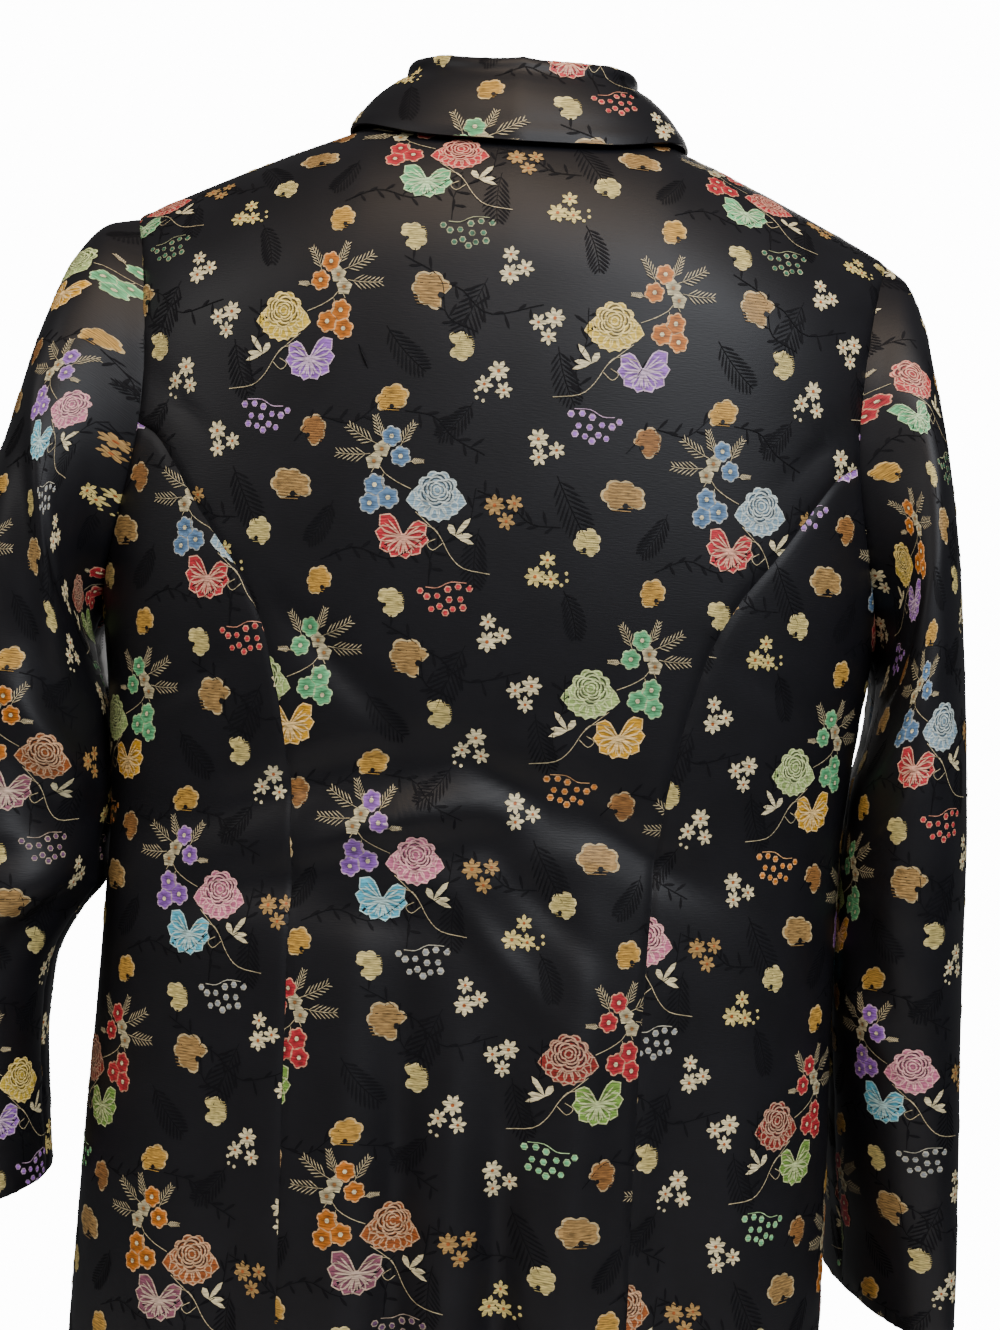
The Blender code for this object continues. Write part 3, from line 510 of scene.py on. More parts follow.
# %% Edges that dip into the seams
CLOTH = 0.0012
SEAM_DIP = 0.0010
DIP_WIDTH = 0.0024
EDGE_LINES = (0.18, 0.42)
PUCKER = 0.00030
PUCKER_WIDTH = 0.009
PUCKER_LENGTH = 0.019
# The puckers drift in and out of step along the seam at this share of their own pace.
PUCKER_DRIFT = 0.37


def beside_edges(grid):
    """The grid with extra lines close to all four of its edges."""
    for _ in range(2):
        near = [grid[:, :1] + (grid[:, 1:2] - grid[:, :1]) * part for part in EDGE_LINES]
        far = [grid[:, -1:] + (grid[:, -2:-1] - grid[:, -1:]) * part for part in EDGE_LINES[::-1]]
        grid = np.concatenate([grid[:, :1], *near, grid[:, 1:-1], *far, grid[:, -1:]], 1)
        grid = grid.swapaxes(0, 1)
    return grid


def seam_shape(points):
    """How far the cloth dips near its edges, and how it puckers along them."""
    off = edge_distance(points)
    along = length_along(points, 0) * 2 * math.pi / PUCKER_LENGTH
    ripple = PUCKER * np.sin(along + 2 * np.sin(along * PUCKER_DRIFT)) * bump(off, PUCKER_WIDTH)
    return ripple - SEAM_DIP * bump(off, DIP_WIDTH)

# %% Walls of cloth
Panel = namedtuple("Panel", "name skin shell flat")
SHARP_EDGE = 60


def in_scene(name, data):
    """A new object in the scene."""
    piece = bpy.data.objects.new(name, data)
    bpy.context.scene.collection.objects.link(piece)
    return piece


def flat_grid_faces(rows, columns):
    a = (np.arange(rows - 1)[:, None] * columns + np.arange(columns - 1)).reshape(-1)
    return np.stack([a, a + columns, a + columns + 1, a + 1], -1)


def mesh_object(name, points, faces, material=None):
    mesh = bpy.data.meshes.new(name)
    mesh.from_pydata(points.reshape(-1, 3).tolist(), [], faces.tolist())
    mesh.update()
    mesh.shade_smooth()
    if material:
        mesh.materials.append(material)
    return in_scene(name, mesh)


def put_map(mesh, flat):
    """Writes the flat map, one pair of numbers for each point, as the mesh's own UV map."""
    corner_points = np.empty(len(mesh.loops), int)
    mesh.loops.foreach_get("vertex_index", corner_points)
    layer = mesh.uv_layers.new(name="cloth")
    layer.data.foreach_set("uv", flat.reshape(-1, 2)[corner_points].astype(np.float32).reshape(-1))


def grid_outwards(points):
    """Directions square to a grid of points, its columns running to the right and its rows down."""
    return unit(np.cross(np.gradient(points, axis=0), np.gradient(points, axis=1)))


def cloth_panel(name, outer, flat, material, thick=CLOTH):
    """A closed wall of cloth from its outer points, and the outer skin alone for laying flowers on."""
    rows, columns = outer.shape[:2]
    inner = outer - thick * grid_outwards(outer)
    faces = flat_grid_faces(rows, columns)
    shift = rows * columns
    number = np.arange(shift).reshape(rows, columns)
    rim = np.concatenate([number[0, :], number[1:, -1], number[-1, -2::-1], number[-2:0:-1, 0]])
    following = np.roll(rim, -1)
    edge = np.stack([rim, following, following + shift, rim + shift], -1)
    wall = np.concatenate([faces, faces[:, ::-1] + shift, edge])
    shell = mesh_object(name + "_cloth", np.concatenate([outer, inner]), wall, material)
    put_map(shell.data, np.concatenate([flat.reshape(-1, 2)] * 2))
    shell.data.set_sharp_from_angle(angle=math.radians(SHARP_EDGE))
    skin = mesh_object(name + "_skin", outer, faces)
    put_map(skin.data, flat)
    square = skin.data.attributes.new("outwards", "FLOAT_VECTOR", "POINT")
    square.data.foreach_set("vector", grid_outwards(outer).astype(np.float32).reshape(-1))
    size = np.ptp(flat.reshape(-1, 2), 0)
    print(name, "cells:", len(faces), "flat size:", np.round(size, 3).tolist())
    return Panel(name, skin, shell, flat)

# %% The five panels of the body
# The right front lies this far above the left one.
LAP_RISE = 0.0020


def lift_panel(name, grid, side, material, rise=0.0):
    """Lays a grid of places on the form as a panel whose columns run to the right, seen from outside."""
    grid = beside_edges(grid)
    flat = body_map(grid, side)
    if flat[-1, -1, 0] < flat[-1, 0, 0]:
        grid, flat = grid[:, ::-1], flat[:, ::-1]
    outer = cloth_point(grid[..., 0], grid[..., 1], side)
    outwards = cloth_outwards(grid[..., 0], grid[..., 1], side)
    if rise:
        outer = outer + outwards * (rise * (1 - ease(outer[..., 0], LAP_END, LAP_END + LAP)))[..., None]
    return cloth_panel(name, outer + outwards * seam_shape(outer)[..., None], flat, material)


def centre_back(material):
    start = PRINCESS_START * FINER + 1
    edges = [np.concatenate([armhole_places(hand, BACK)[:start], princess_places(hand)[1:]])
             for hand in (LEFT, RIGHT)]
    neck = neck_places(np.linspace(-90, 90, NECK_COLUMNS * FINER + 1), BACK)
    top = np.concatenate([shoulder_places(LEFT, BACK)[::-1], neck[1:-1], shoulder_places(RIGHT, BACK)])
    bottom = hem_places(edges[0][-1], edges[1][-1], len(top), BACK)
    return lift_panel("centre_back", between(top, bottom, *edges), BACK, material)


def side_back(hand, material):
    top = armhole_places(hand, BACK)[PRINCESS_START * FINER:]
    left, right = princess_places(hand), side_places(hand, BACK)
    bottom = hem_places(left[-1], right[-1], len(top), BACK)
    return lift_panel("side_back_" + HAND_NAMES[hand], between(top, bottom, left, right), BACK, material)


def front_angle(across):
    """The angle round the neck of a place on the front neckline."""
    return 180 - math.degrees(math.asin(across / NECK_HALF_WIDTH))


def front(hand, material):
    """The front of one side, with the lap that runs past the centre; the right one lies on the left one."""
    angles = np.linspace(front_angle(LAP_END), 90, FRONT_NECK_COLUMNS * FINER + 1)
    top = np.concatenate([neck_places(hand * angles, FRONT)[:-1], shoulder_places(hand, FRONT)])
    right = np.concatenate([armhole_places(hand, FRONT), side_places(hand, FRONT)[1:]])
    left = np.linspace(top[0], place(hand * LAP_END, HEM_DOWN, FRONT), len(right))
    bottom = hem_places(left[-1], right[-1], len(top), FRONT)
    lap = []
    for across in finer([-LAP, 0.0, LAP_END])[:-1]:
        start = neck_places(np.array([hand * front_angle(across)]), FRONT)[0]
        lap.append(np.linspace(start, place(hand * across, HEM_DOWN, FRONT), len(right)))
    grid = np.concatenate([np.stack(lap, 1), between(top, bottom, left, right)], 1)
    rise = LAP_RISE if hand == RIGHT else 0.0
    return lift_panel("front_" + HAND_NAMES[hand], grid, FRONT, material, rise)

# %% [markdown]
# ## Sleeves
#
# Each sleeve is one tube with its seam under the arm. Rings measured from the photo carry it: every ring
# spans from the outer line of the arm to the inner one. The first rings blend into the armhole, and creases
# gather at the bend of the elbow.

# %% Sleeve measures
SLEEVE_SQUARENESS = 2.3
CAP_RINGS = 4
Ring = namedtuple("Ring", "outer outer_down inner inner_down middle_y half_depth turn")
SLEEVES = {
    LEFT: (
        Ring(0.2040, 0.0615, 0.2085, 0.2750, 0.000, 0.0640, 0.00),
        Ring(0.2185, 0.0665, 0.2098, 0.2785, -0.001, 0.0670, 0.00),
        Ring(0.2315, 0.0840, 0.2108, 0.2820, -0.003, 0.0700, 0.02),
        Ring(0.2410, 0.1110, 0.2117, 0.2860, -0.005, 0.0725, 0.04),
        Ring(0.2500, 0.1440, 0.2125, 0.2915, -0.008, 0.0740, 0.06),
        Ring(0.2615, 0.1830, 0.2110, 0.3000, -0.006, 0.0745, 0.08),
        Ring(0.2740, 0.2240, 0.2080, 0.3120, -0.005, 0.0735, 0.08),
        Ring(0.2855, 0.2640, 0.2035, 0.3270, -0.004, 0.0715, 0.08),
        Ring(0.2960, 0.3020, 0.2012, 0.3440, -0.004, 0.0690, 0.07),
        Ring(0.3040, 0.3340, 0.1993, 0.3620, -0.007, 0.0665, 0.05),
        Ring(0.3085, 0.3620, 0.1981, 0.3800, -0.010, 0.0645, 0.03),
        Ring(0.3110, 0.3900, 0.1977, 0.3990, -0.012, 0.0620, 0.02),
        Ring(0.3105, 0.4200, 0.1975, 0.4200, -0.016, 0.0600, 0.00),
        Ring(0.3105, 0.4520, 0.2125, 0.4430, -0.019, 0.0575, 0.00),
        Ring(0.3100, 0.4860, 0.2225, 0.4700, -0.021, 0.0550, 0.00),
        Ring(0.3095, 0.5200, 0.2235, 0.5000, -0.023, 0.0525, 0.00),
        Ring(0.3100, 0.5550, 0.2215, 0.5350, -0.021, 0.0500, 0.00),
        Ring(0.3105, 0.5830, 0.2190, 0.5600, -0.020, 0.0475, 0.00),
        Ring(0.3110, 0.6060, 0.2165, 0.5790, -0.020, 0.0450, 0.00),
    ),
    RIGHT: (
        Ring(0.2040, 0.0615, 0.2085, 0.2750, 0.000, 0.0640, 0.00),
        Ring(0.2140, 0.0710, 0.2096, 0.2785, -0.001, 0.0670, 0.02),
        Ring(0.2225, 0.0920, 0.2104, 0.2820, -0.002, 0.0710, 0.04),
        Ring(0.2285, 0.1200, 0.2112, 0.2860, -0.003, 0.0750, 0.07),
        Ring(0.2360, 0.1520, 0.2120, 0.2915, -0.004, 0.0785, 0.09),
        Ring(0.2435, 0.1880, 0.2117, 0.3000, -0.005, 0.0800, 0.11),
        Ring(0.2500, 0.2270, 0.2100, 0.3130, -0.005, 0.0800, 0.12),
        Ring(0.2545, 0.2650, 0.2070, 0.3280, -0.006, 0.0790, 0.13),
        Ring(0.2580, 0.3010, 0.2025, 0.3450, -0.007, 0.0775, 0.13),
        Ring(0.2605, 0.3340, 0.2000, 0.3630, -0.008, 0.0755, 0.13),
        Ring(0.2625, 0.3640, 0.1981, 0.3810, -0.008, 0.0735, 0.12),
        Ring(0.2640, 0.3930, 0.1975, 0.4020, -0.006, 0.0715, 0.11),
        Ring(0.2652, 0.4240, 0.1979, 0.4270, -0.003, 0.0695, 0.09),
        Ring(0.2662, 0.4560, 0.1998, 0.4550, 0.001, 0.0680, 0.05),
        Ring(0.2672, 0.4900, 0.2025, 0.4850, 0.006, 0.0665, 0.00),
        Ring(0.2682, 0.5250, 0.2065, 0.5200, 0.010, 0.0650, -0.05),
        Ring(0.2690, 0.5600, 0.2105, 0.5550, 0.015, 0.0635, -0.10),
        Ring(0.2700, 0.6000, 0.2175, 0.5930, 0.020, 0.0615, -0.15),
        Ring(0.2710, 0.6400, 0.2210, 0.6300, 0.025, 0.0600, -0.18),
    ),
}
ELBOW_RING = 12
# Creases of the sleeves, by ring and by angle round the ring: 90 is the back, 180 the inner side.
# The narrow ones at the end are only in this model.
SleeveFold = namedtuple("SleeveFold", "side ring angle tilt half_rings half_angle out")
SLEEVE_FOLDS = rows_of(SleeveFold, (
    (LEFT, 7.2, 118, 0.020, 0.9, 34, -0.0060),
    (LEFT, 8.6, 128, 0.024, 0.7, 30, 0.0045),
    (LEFT, 10.3, 135, 0.018, 0.8, 42, -0.0080),
    (LEFT, 11.8, 128, -0.018, 0.7, 34, 0.0050),
    (LEFT, 12.8, 140, -0.026, 0.8, 36, -0.0060),
    (LEFT, 5.2, 84, 0.030, 0.8, 26, -0.0040),
    (LEFT, 10.4, 250, 0.018, 0.9, 36, -0.0060),
    (LEFT, 12.0, 262, -0.018, 0.8, 32, 0.0040),
    (RIGHT, 8.8, 132, 0.022, 0.8, 34, -0.0045),
    (RIGHT, 10.8, 140, 0.016, 0.8, 38, -0.0050),
    (RIGHT, 12.4, 130, -0.018, 0.8, 32, -0.0040),
    (RIGHT, 10.6, 248, 0.018, 0.9, 36, -0.0060),
    (RIGHT, 12.2, 262, -0.018, 0.8, 32, 0.0040),
    (LEFT, 4.2, 112, 0.020, 0.35, 22, -0.0018),
    (LEFT, 6.4, 70, 0.022, 0.35, 20, -0.0018),
    (LEFT, 7.9, 96, 0.020, 0.30, 26, 0.0016),
    (LEFT, 9.4, 118, 0.021, 0.30, 28, -0.0024),
    (LEFT, 11.0, 116, -0.004, 0.28, 30, 0.0020),
    (LEFT, 11.4, 96, -0.018, 0.28, 26, -0.0022),
    (LEFT, 13.6, 110, -0.022, 0.32, 24, 0.0016),
    (LEFT, 15.0, 124, -0.016, 0.40, 22, -0.0016),
    (RIGHT, 4.8, 128, 0.024, 0.35, 22, -0.0018),
    (RIGHT, 7.4, 118, 0.022, 0.32, 26, 0.0016),
    (RIGHT, 9.8, 124, 0.018, 0.30, 28, -0.0022),
    (RIGHT, 11.6, 118, -0.006, 0.28, 30, -0.0020),
    (RIGHT, 13.4, 130, -0.020, 0.32, 26, 0.0018),
))

# %% Sleeve tubes
def armhole_rim(hand):
    """The sewn line round an armhole, from the shoulder over the back."""
    rim = []
    for side in (BACK, FRONT):
        places = armhole_places(hand, side)
        outwards = cloth_outwards(places[:, 0], places[:, 1], side)
        rim.append(cloth_point(places[:, 0], places[:, 1], side) - SEAM_DIP * outwards)
    return np.concatenate([rim[0], rim[1][-2:0:-1]])


def ring_outwards(rings, hand):
    """Directions square to the tube, outwards."""
    along = np.roll(rings, -1, 1) - np.roll(rings, 1, 1)
    return unit(np.cross(along, np.gradient(rings, axis=0))) * hand


def sleeve_rings(hand, number, angles):
    """The tube's points, ring by ring, at the given angles round each ring."""
    table = SLEEVES[hand]
    rows = {name: smooth(number, range(len(table)), column(table, name))[:, None] for name in Ring._fields}
    turn = np.radians(angles)[None]
    along = power(np.cos(turn), 2 / SLEEVE_SQUARENESS)
    y = -rows["half_depth"] * power(np.sin(turn), 2 / SLEEVE_SQUARENESS)
    x = (rows["outer"] + rows["inner"]) / 2 + (rows["outer"] - rows["inner"]) / 2 * along
    down = (rows["outer_down"] + rows["inner_down"]) / 2
    down = down + (rows["outer_down"] - rows["inner_down"]) / 2 * along
    return np.stack([hand * (x + rows["turn"] * y), rows["middle_y"] + y, -down], -1)


def sleeve(hand, material):
    number = finer(range(len(SLEEVES[hand])))
    angles = finer([*ARM_ANGLES, *(360 - angle for angle in ARM_ANGLES[-2::-1])])[:-1]
    rings = sleeve_rings(hand, number, angles)
    rim = armhole_rim(hand)
    fade = np.maximum(1 - number / CAP_RINGS, 0) ** 2
    rings = rings + fade[:, None, None] * (rim - rings[0])
    height = np.zeros(rings.shape[:2])
    for fold in SLEEVE_FOLDS:
        if fold.side == hand:
            off = number[:, None] - fold.ring - fold.tilt * (angles[None] - fold.angle)
            height += fold.out * bump(off, fold.half_rings) * bump(angles[None] - fold.angle, fold.half_angle)
    height *= ease(number, 2, 5)[:, None]
    rings = rings + ring_outwards(rings, hand) * height[..., None]
    # The tube is cut open under the arm and laid out from one side of that seam to the other.
    half = len(angles) // 2
    order = np.arange(half, half + len(angles) + 1) % len(angles)
    outwards = ring_outwards(rings, hand)[:, order]
    tube = rings[:, order]
    tube = tube + outwards * seam_shape(tube)[..., None]
    tube[0] = rim[order]
    across = length_along(tube, 1)
    across = across - across[:, len(angles) - half: len(angles) - half + 1]
    down = length_along(tube, 0)
    level = round(ELBOW_RING * FINER)
    down = down - down[level: level + 1]
    flat = np.stack([-hand * across, -down], -1)
    if hand == RIGHT:
        tube, flat = tube[:, ::-1], flat[:, ::-1]
    return cloth_panel("sleeve_" + HAND_NAMES[hand], tube, flat, material)

# %% [markdown]
# ## Collar
#
# The collar stands up from the neckline, rolls over and falls back onto the shoulders. Stand and fall are
# two pieces, as they are cut. The fall is drawn as a line across the collar, rolled over the stand, and
# carried round the neck.

# %% Collar measures
Collar = namedtuple("Collar", "angle stand lean edge_across edge_down")
COLLAR = rows_of(Collar, (
    (0, 0.038, 0.008, 0.0000, 0.033),
    (30, 0.037, 0.009, 0.0452, 0.030),
    (60, 0.034, 0.013, 0.0784, 0.020),
    (90, 0.032, 0.016, 0.0905, 0.013),
    (112, 0.031, 0.015, 0.0885, 0.030),
    (135, 0.030, 0.012, 0.0795, 0.059),
    (158, 0.028, 0.009, 0.0600, 0.088),
    (177.7, 0.027, 0.008, 0.0420, 0.104),
))
# Between these angles the outer edge and the foot start to lift clear of the lap in front.
LAP_LIFT = 0.0022
EDGE_LIFT_START, LAP_LIFT_START, LAP_LIFT_FULL = 130, 150, 168
# The fall lies this far off the shoulders and bulges a little, and its turned edge is thicker.
FALL_LIFT = 0.0038
FALL_ROWS = 5
FALL_BELLY = 0.0030
STAND_MIDDLE = 0.55
STAND_BELLY = 0.0008
STAND_ROWS = 13
COLLAR_FINE_ROWS = 57
COLLAR_CLOTH = 0.0015
EDGE_ROLL = 0.0006
EDGE_ROLL_IN = 0.0045
UPWARDS = np.array([0, 0, 1])
FORWARDS = np.array([0, 1, 0])
# The roll over the top of the stand: out from the stand's outer face, and up from its top.
Roll = namedtuple("Roll", "out up")
COLLAR_ROLL = (Roll(-0.0015, 0.0019), Roll(0.0015, 0.0022), Roll(0.0042, -0.0006), Roll(0.0056, -0.0058))

# %% Collar pieces
def collar_angles():
    """Angles round the neck from the centre back, from one end of the collar to the other."""
    back = np.linspace(-90, 90, NECK_COLUMNS * FINER + 1)
    side = np.linspace(90, front_angle(LAP_END), FRONT_NECK_COLUMNS * FINER + 1)[1:]
    side = np.append(side, COLLAR[-1].angle)
    return np.concatenate([-side[::-1], back, side])


def neck_line(angles):
    """The neckline on the cloth."""
    line = np.empty((len(angles), 3))
    for side, chosen in ((BACK, np.abs(angles) <= 90), (FRONT, np.abs(angles) > 90)):
        places = neck_places(angles[chosen], side)
        line[chosen] = cloth_point(places[:, 0], places[:, 1], side)
    return line


def neck_outwards(angles):
    """Level directions away from the neck."""
    turn = np.radians(angles)
    deep = np.where(np.abs(angles) <= 90, NECK_DEPTH[BACK], NECK_DEPTH[FRONT])
    flat = np.stack([np.sin(turn) / NECK_HALF_WIDTH, -np.cos(turn) / deep, np.zeros(len(turn))], -1)
    return unit(flat)


def fold_line(angles):
    """The outer edge of the stand's top, where the collar folds over."""
    around = np.abs(angles)
    rise = from_table(around, COLLAR, "angle", "stand")[:, None] * UPWARDS
    lean = from_table(around, COLLAR, "angle", "lean")[:, None] * neck_outwards(angles)
    return neck_line(angles) + rise - lean


def edge_line(angles):
    """The collar's outer edge, just clear of the shoulders it lies on."""
    around, hand = np.abs(angles), np.sign(angles)
    across = hand * from_table(around, COLLAR, "angle", "edge_across")
    down = from_table(around, COLLAR, "angle", "edge_down")
    line = np.empty((len(angles), 3))
    for side, chosen in ((BACK, around <= 90), (FRONT, around > 90)):
        places = place(across[chosen], down[chosen], side)
        points = cloth_point(places[:, 0], places[:, 1], side)
        line[chosen] = points + FALL_LIFT * cloth_outwards(places[:, 0], places[:, 1], side)
    return line + LAP_LIFT * ease(around, EDGE_LIFT_START, LAP_LIFT_FULL)[:, None] * FORWARDS


def smooth_rows(rows, count):
    """More rows on a soft curve through all of the given ones."""
    rows = np.stack([2 * rows[0] - rows[1], *rows, 2 * rows[-1] - rows[-2]])
    at = np.linspace(1, len(rows) - 2, count)
    index = np.minimum(at.astype(int), len(rows) - 3)
    part = (at - index)[:, None, None]
    a, b, c, d = (rows[index + step] for step in (-1, 0, 1, 2))
    curve = 3 * (b - c) + d - a
    return b + part * (c - a + part * (2 * a - 5 * b + 4 * c - d + part * curve)) / 2


def collar_flat(points, middle_row):
    """The map of a collar piece: along the neck from the centre back, and across it."""
    along = length_along(points, 1)[middle_row]
    along = along - along[len(along) // 2]
    return np.stack([np.broadcast_to(along, points.shape[:2]), -length_along(points, 0)], -1)


def collar_stand(material):
    angles = collar_angles()
    away = neck_outwards(angles)
    lift = LAP_LIFT * ease(np.abs(angles), LAP_LIFT_START, LAP_LIFT_FULL)
    foot, top = neck_line(angles) + lift[:, None] * UPWARDS, fold_line(angles)
    middle = foot * (1 - STAND_MIDDLE) + top * STAND_MIDDLE + STAND_BELLY * away
    rows = smooth_rows([top, middle, foot], STAND_ROWS)
    return cloth_panel("collar_stand", rows, collar_flat(rows, 0), material)


def collar_fall(material):
    angles = collar_angles()
    fold, edge, away = fold_line(angles), edge_line(angles), neck_outwards(angles)
    rows = [fold + roll.out * away + roll.up * UPWARDS for roll in COLLAR_ROLL]
    for row in range(1, FALL_ROWS + 1):
        part = row / FALL_ROWS
        belly = FALL_BELLY * math.sin(math.pi * part) * (away + 0.5 * UPWARDS)
        rows.append(rows[len(COLLAR_ROLL) - 1] * (1 - part) + edge * part + belly)
    rows = smooth_rows(rows, COLLAR_FINE_ROWS)
    # The turned edge is a little thicker and rolls under.
    roll = EDGE_ROLL * bump(edge_distance(rows) - EDGE_ROLL_IN, EDGE_ROLL_IN)
    rows = rows + grid_outwards(rows) * roll[..., None]
    flat = collar_flat(rows, COLLAR_FINE_ROWS // 2)
    return cloth_panel("collar_fall", rows, flat, material, COLLAR_CLOTH)

# %% [markdown]
# ## Black satin
#
# The ground of brocade is satin: long threads of black silk lie side by side, so it shines softly and in
# one direction. Fine ribs of the weave and a slight unevenness of the dye are added by nodes that read the
# flat map of the cloth, so they run straight along each panel.

# %% Nodes and plain finishes
def shown(sockets, name):
    """The socket of this name that a node shows."""
    return next(one for one in sockets if one.name == name and one.enabled)


def adder(tree):
    """A function that adds a node to a tree, with its inputs linked to sockets or set to values."""

    def node(kind, inputs=(), **values):
        made = tree.nodes.new(kind)
        for name, value in values.items():
            setattr(made, name, value)
        for socket, source in dict(inputs).items():
            entry = made.inputs[socket] if isinstance(socket, int) else shown(made.inputs, socket)
            if isinstance(source, bpy.types.NodeSocket):
                tree.links.new(source, entry)
            else:
                entry.default_value = source
        return made

    return node


def finish(name, values):
    """A material whose shader has these values, and that shader."""
    material = bpy.data.materials.new(name)
    material.use_nodes = True
    shader = material.node_tree.nodes["Principled BSDF"]
    for entry, value in values.items():
        shader.inputs[entry].default_value = value
    return material, shader


def add_sockets(tree, way, kinds):
    """Inputs or outputs of a node group, by name and kind."""
    for name, kind in kinds.items():
        tree.interface.new_socket(name, in_out=way, socket_type="NodeSocket" + kind)

# %% Weave as a node group
SLOW_SHARE = 0.14


def weave_group():
    """Fine ribs across the cloth and slower unevenness, from the flat map in metres."""
    group = bpy.data.node_groups.new("satin weave", "ShaderNodeTree")
    add_sockets(group, "INPUT", {"Map": "Vector", "Ribs": "Float", "Patch": "Float"})
    add_sockets(group, "OUTPUT", {"Height": "Float", "Unevenness": "Float"})
    node = adder(group)
    start = node("NodeGroupInput").outputs
    slow = node("ShaderNodeMath", {0: start["Ribs"], 1: SLOW_SHARE}, operation="MULTIPLY")
    scale = node("ShaderNodeCombineXYZ", {"X": slow.outputs[0], "Y": start["Ribs"]})
    ribs = node("ShaderNodeVectorMath", {0: start["Map"], 1: scale.outputs[0]}, operation="MULTIPLY")
    threads = node("ShaderNodeTexNoise", {"Vector": ribs.outputs[0], "Scale": 1.0, "Detail": 2.0})
    patches = node("ShaderNodeTexNoise", {"Vector": start["Map"], "Scale": start["Patch"], "Detail": 3.0})
    node("NodeGroupOutput", {"Height": threads.outputs[0], "Unevenness": patches.outputs[0]})
    return group


WEAVE = weave_group()

# %% The satin material
BUMP_STRENGTH = 0.35


def woven(name, ribs, patch_size, dark, light, roughness, gloss, bump_height):
    """A cloth material whose colour wanders between dark and light, and what a finish on top needs."""
    material, shader = finish(name, {"Roughness": roughness, "Specular IOR Level": gloss})
    node, link = adder(material.node_tree), material.node_tree.links.new
    cloth_map = node("ShaderNodeUVMap", uv_map="cloth").outputs[0]
    weave = node("ShaderNodeGroup", {"Map": cloth_map, "Ribs": ribs, "Patch": patch_size}, node_tree=WEAVE)
    mix = node("ShaderNodeMix", {"Factor": weave.outputs["Unevenness"], "A": (*dark, 1), "B": (*light, 1)},
               data_type="RGBA")
    raised = node("ShaderNodeBump", {"Strength": BUMP_STRENGTH, "Distance": bump_height,
                                     "Height": weave.outputs["Height"]})
    link(mix.outputs["Result"], shader.inputs["Base Color"])
    link(raised.outputs[0], shader.inputs["Normal"])
    return material, node, weave, shader


SATIN_DARK, SATIN_LIGHT = (0.0025, 0.0025, 0.0034), (0.0080, 0.0080, 0.0108)
satin = woven("black_satin", 1500, 30, SATIN_DARK, SATIN_LIGHT, 0.49, 0.27, 0.00020)[0]

# %% Cutting and sewing the panels
panels = [centre_back(satin)]
for hand in (LEFT, RIGHT):
    panels += [side_back(hand, satin), front(hand, satin), sleeve(hand, satin)]
panels += [collar_stand(satin), collar_fall(satin)]
for panel in panels:
    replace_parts(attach(panel.shell, "root"), panel.name)

# %% [markdown]
# ## Drawing with coloured threads
#
# Brocade carries its flowers on the face: coloured wefts float over the black ground where a flower is, and
# stay hidden elsewhere. The flowers stand a little proud, so they are real, thin shapes here and not a
# picture. Each motif is drawn flat from petals, ribbons and scalloped patches, all by rule.

# %% Threads
THREADS = {
    "cream": (214, 202, 160), "pale gold": (206, 188, 118), "gold": (196, 150, 66), "tan": (164, 130, 78),
    "bronze": (150, 104, 56), "orange": (214, 124, 36), "yellow": (230, 196, 70), "purple": (164, 108, 206),
    "red": (202, 52, 62), "light blue": (150, 182, 200), "blue": (112, 150, 190), "mint": (112, 200, 138),
    "pale green": (176, 204, 122), "green": (128, 170, 74), "dark green": (52, 104, 78),
    "pink": (220, 124, 156), "cyan": (96, 192, 218), "silver": (150, 156, 160), "mauve": (146, 84, 104),
    "dark red": (150, 46, 40), "flax": (186, 172, 136), "bright": (246, 236, 196), "amber": (232, 172, 40),
    "brown": (172, 92, 40), "dark purple": (96, 64, 98), "black": (10, 10, 12),
}
Band = namedtuple("Band", "peony wings flowers berries")
# The weaver changes shuttles every half repeat, so the same flowers come in new colours, row by row.
BANDS = (
    Band("yellow", "purple", "orange", "purple"),
    Band("light blue", "red", "blue", "red"),
    Band("pale green", "amber", "mint", "orange"),
    Band("pink", "cyan", "purple", "silver"),
    Band("dark red", "green", "red", "mint"),
    Band("brown", "mauve", "orange", "dark purple"),
    Band("red", "mint", "red", "dark green"),
)


def paint(colour):
    """A colour as the shader wants it, given by a thread's name or as such numbers already."""
    if not isinstance(colour, str):
        return tuple(colour)
    share = np.array(THREADS[colour]) / 255
    return tuple(np.where(share < 0.04045, share / 12.92, ((share + 0.055) / 1.055) ** 2.4))


def blend(one, other, part):
    """A colour between two others."""
    return tuple((1 - part) * a + part * b for a, b in zip(paint(one), paint(other)))

# %% Shapes to draw with
MM = 0.001
GROUND_LIFT, TOP_LIFT, LINE_LIFT = 0.22, 0.36, 0.50
# A petal is as full as its power is small, gets lighter to its tip, and its outline lies a little higher.
PETAL_POWER = 0.62
BASE_SHADE, TIP_SHADE, SHADE_POWER = 0.16, 0.95, 0.8
LINE_WIDTH, OUTLINE_RISE = 0.72, 0.1
# A leaflet is nearly at its widest from here to there along its length.
LEAF_NEAR, LEAF_FAR, NEAR_WIDTH = 0.36, 0.76, 0.9
# A patch is a little longer one way, and its inner ring or its rim starts at a share of the radius. A notch
# has a depth, as a share of the radius, and a width in degrees.
LOBE_POINTS, LOBE_POWER = 4, 0.7
UNEVEN, PATCH_INSIDE, RIM_INSIDE = 0.13, 0.52, 0.8
NOTCH_DEEP, NOTCH_WIDE = 0.62, 26


def heading(degrees):
    """The direction at an angle, anticlockwise from the right, or several directions."""
    turn = np.radians(degrees)
    return np.stack([np.cos(turn), np.sin(turn)], -1)


def aside(ahead):
    """The direction a quarter turn to the left."""
    return np.stack([-ahead[..., 1], ahead[..., 0]], -1)


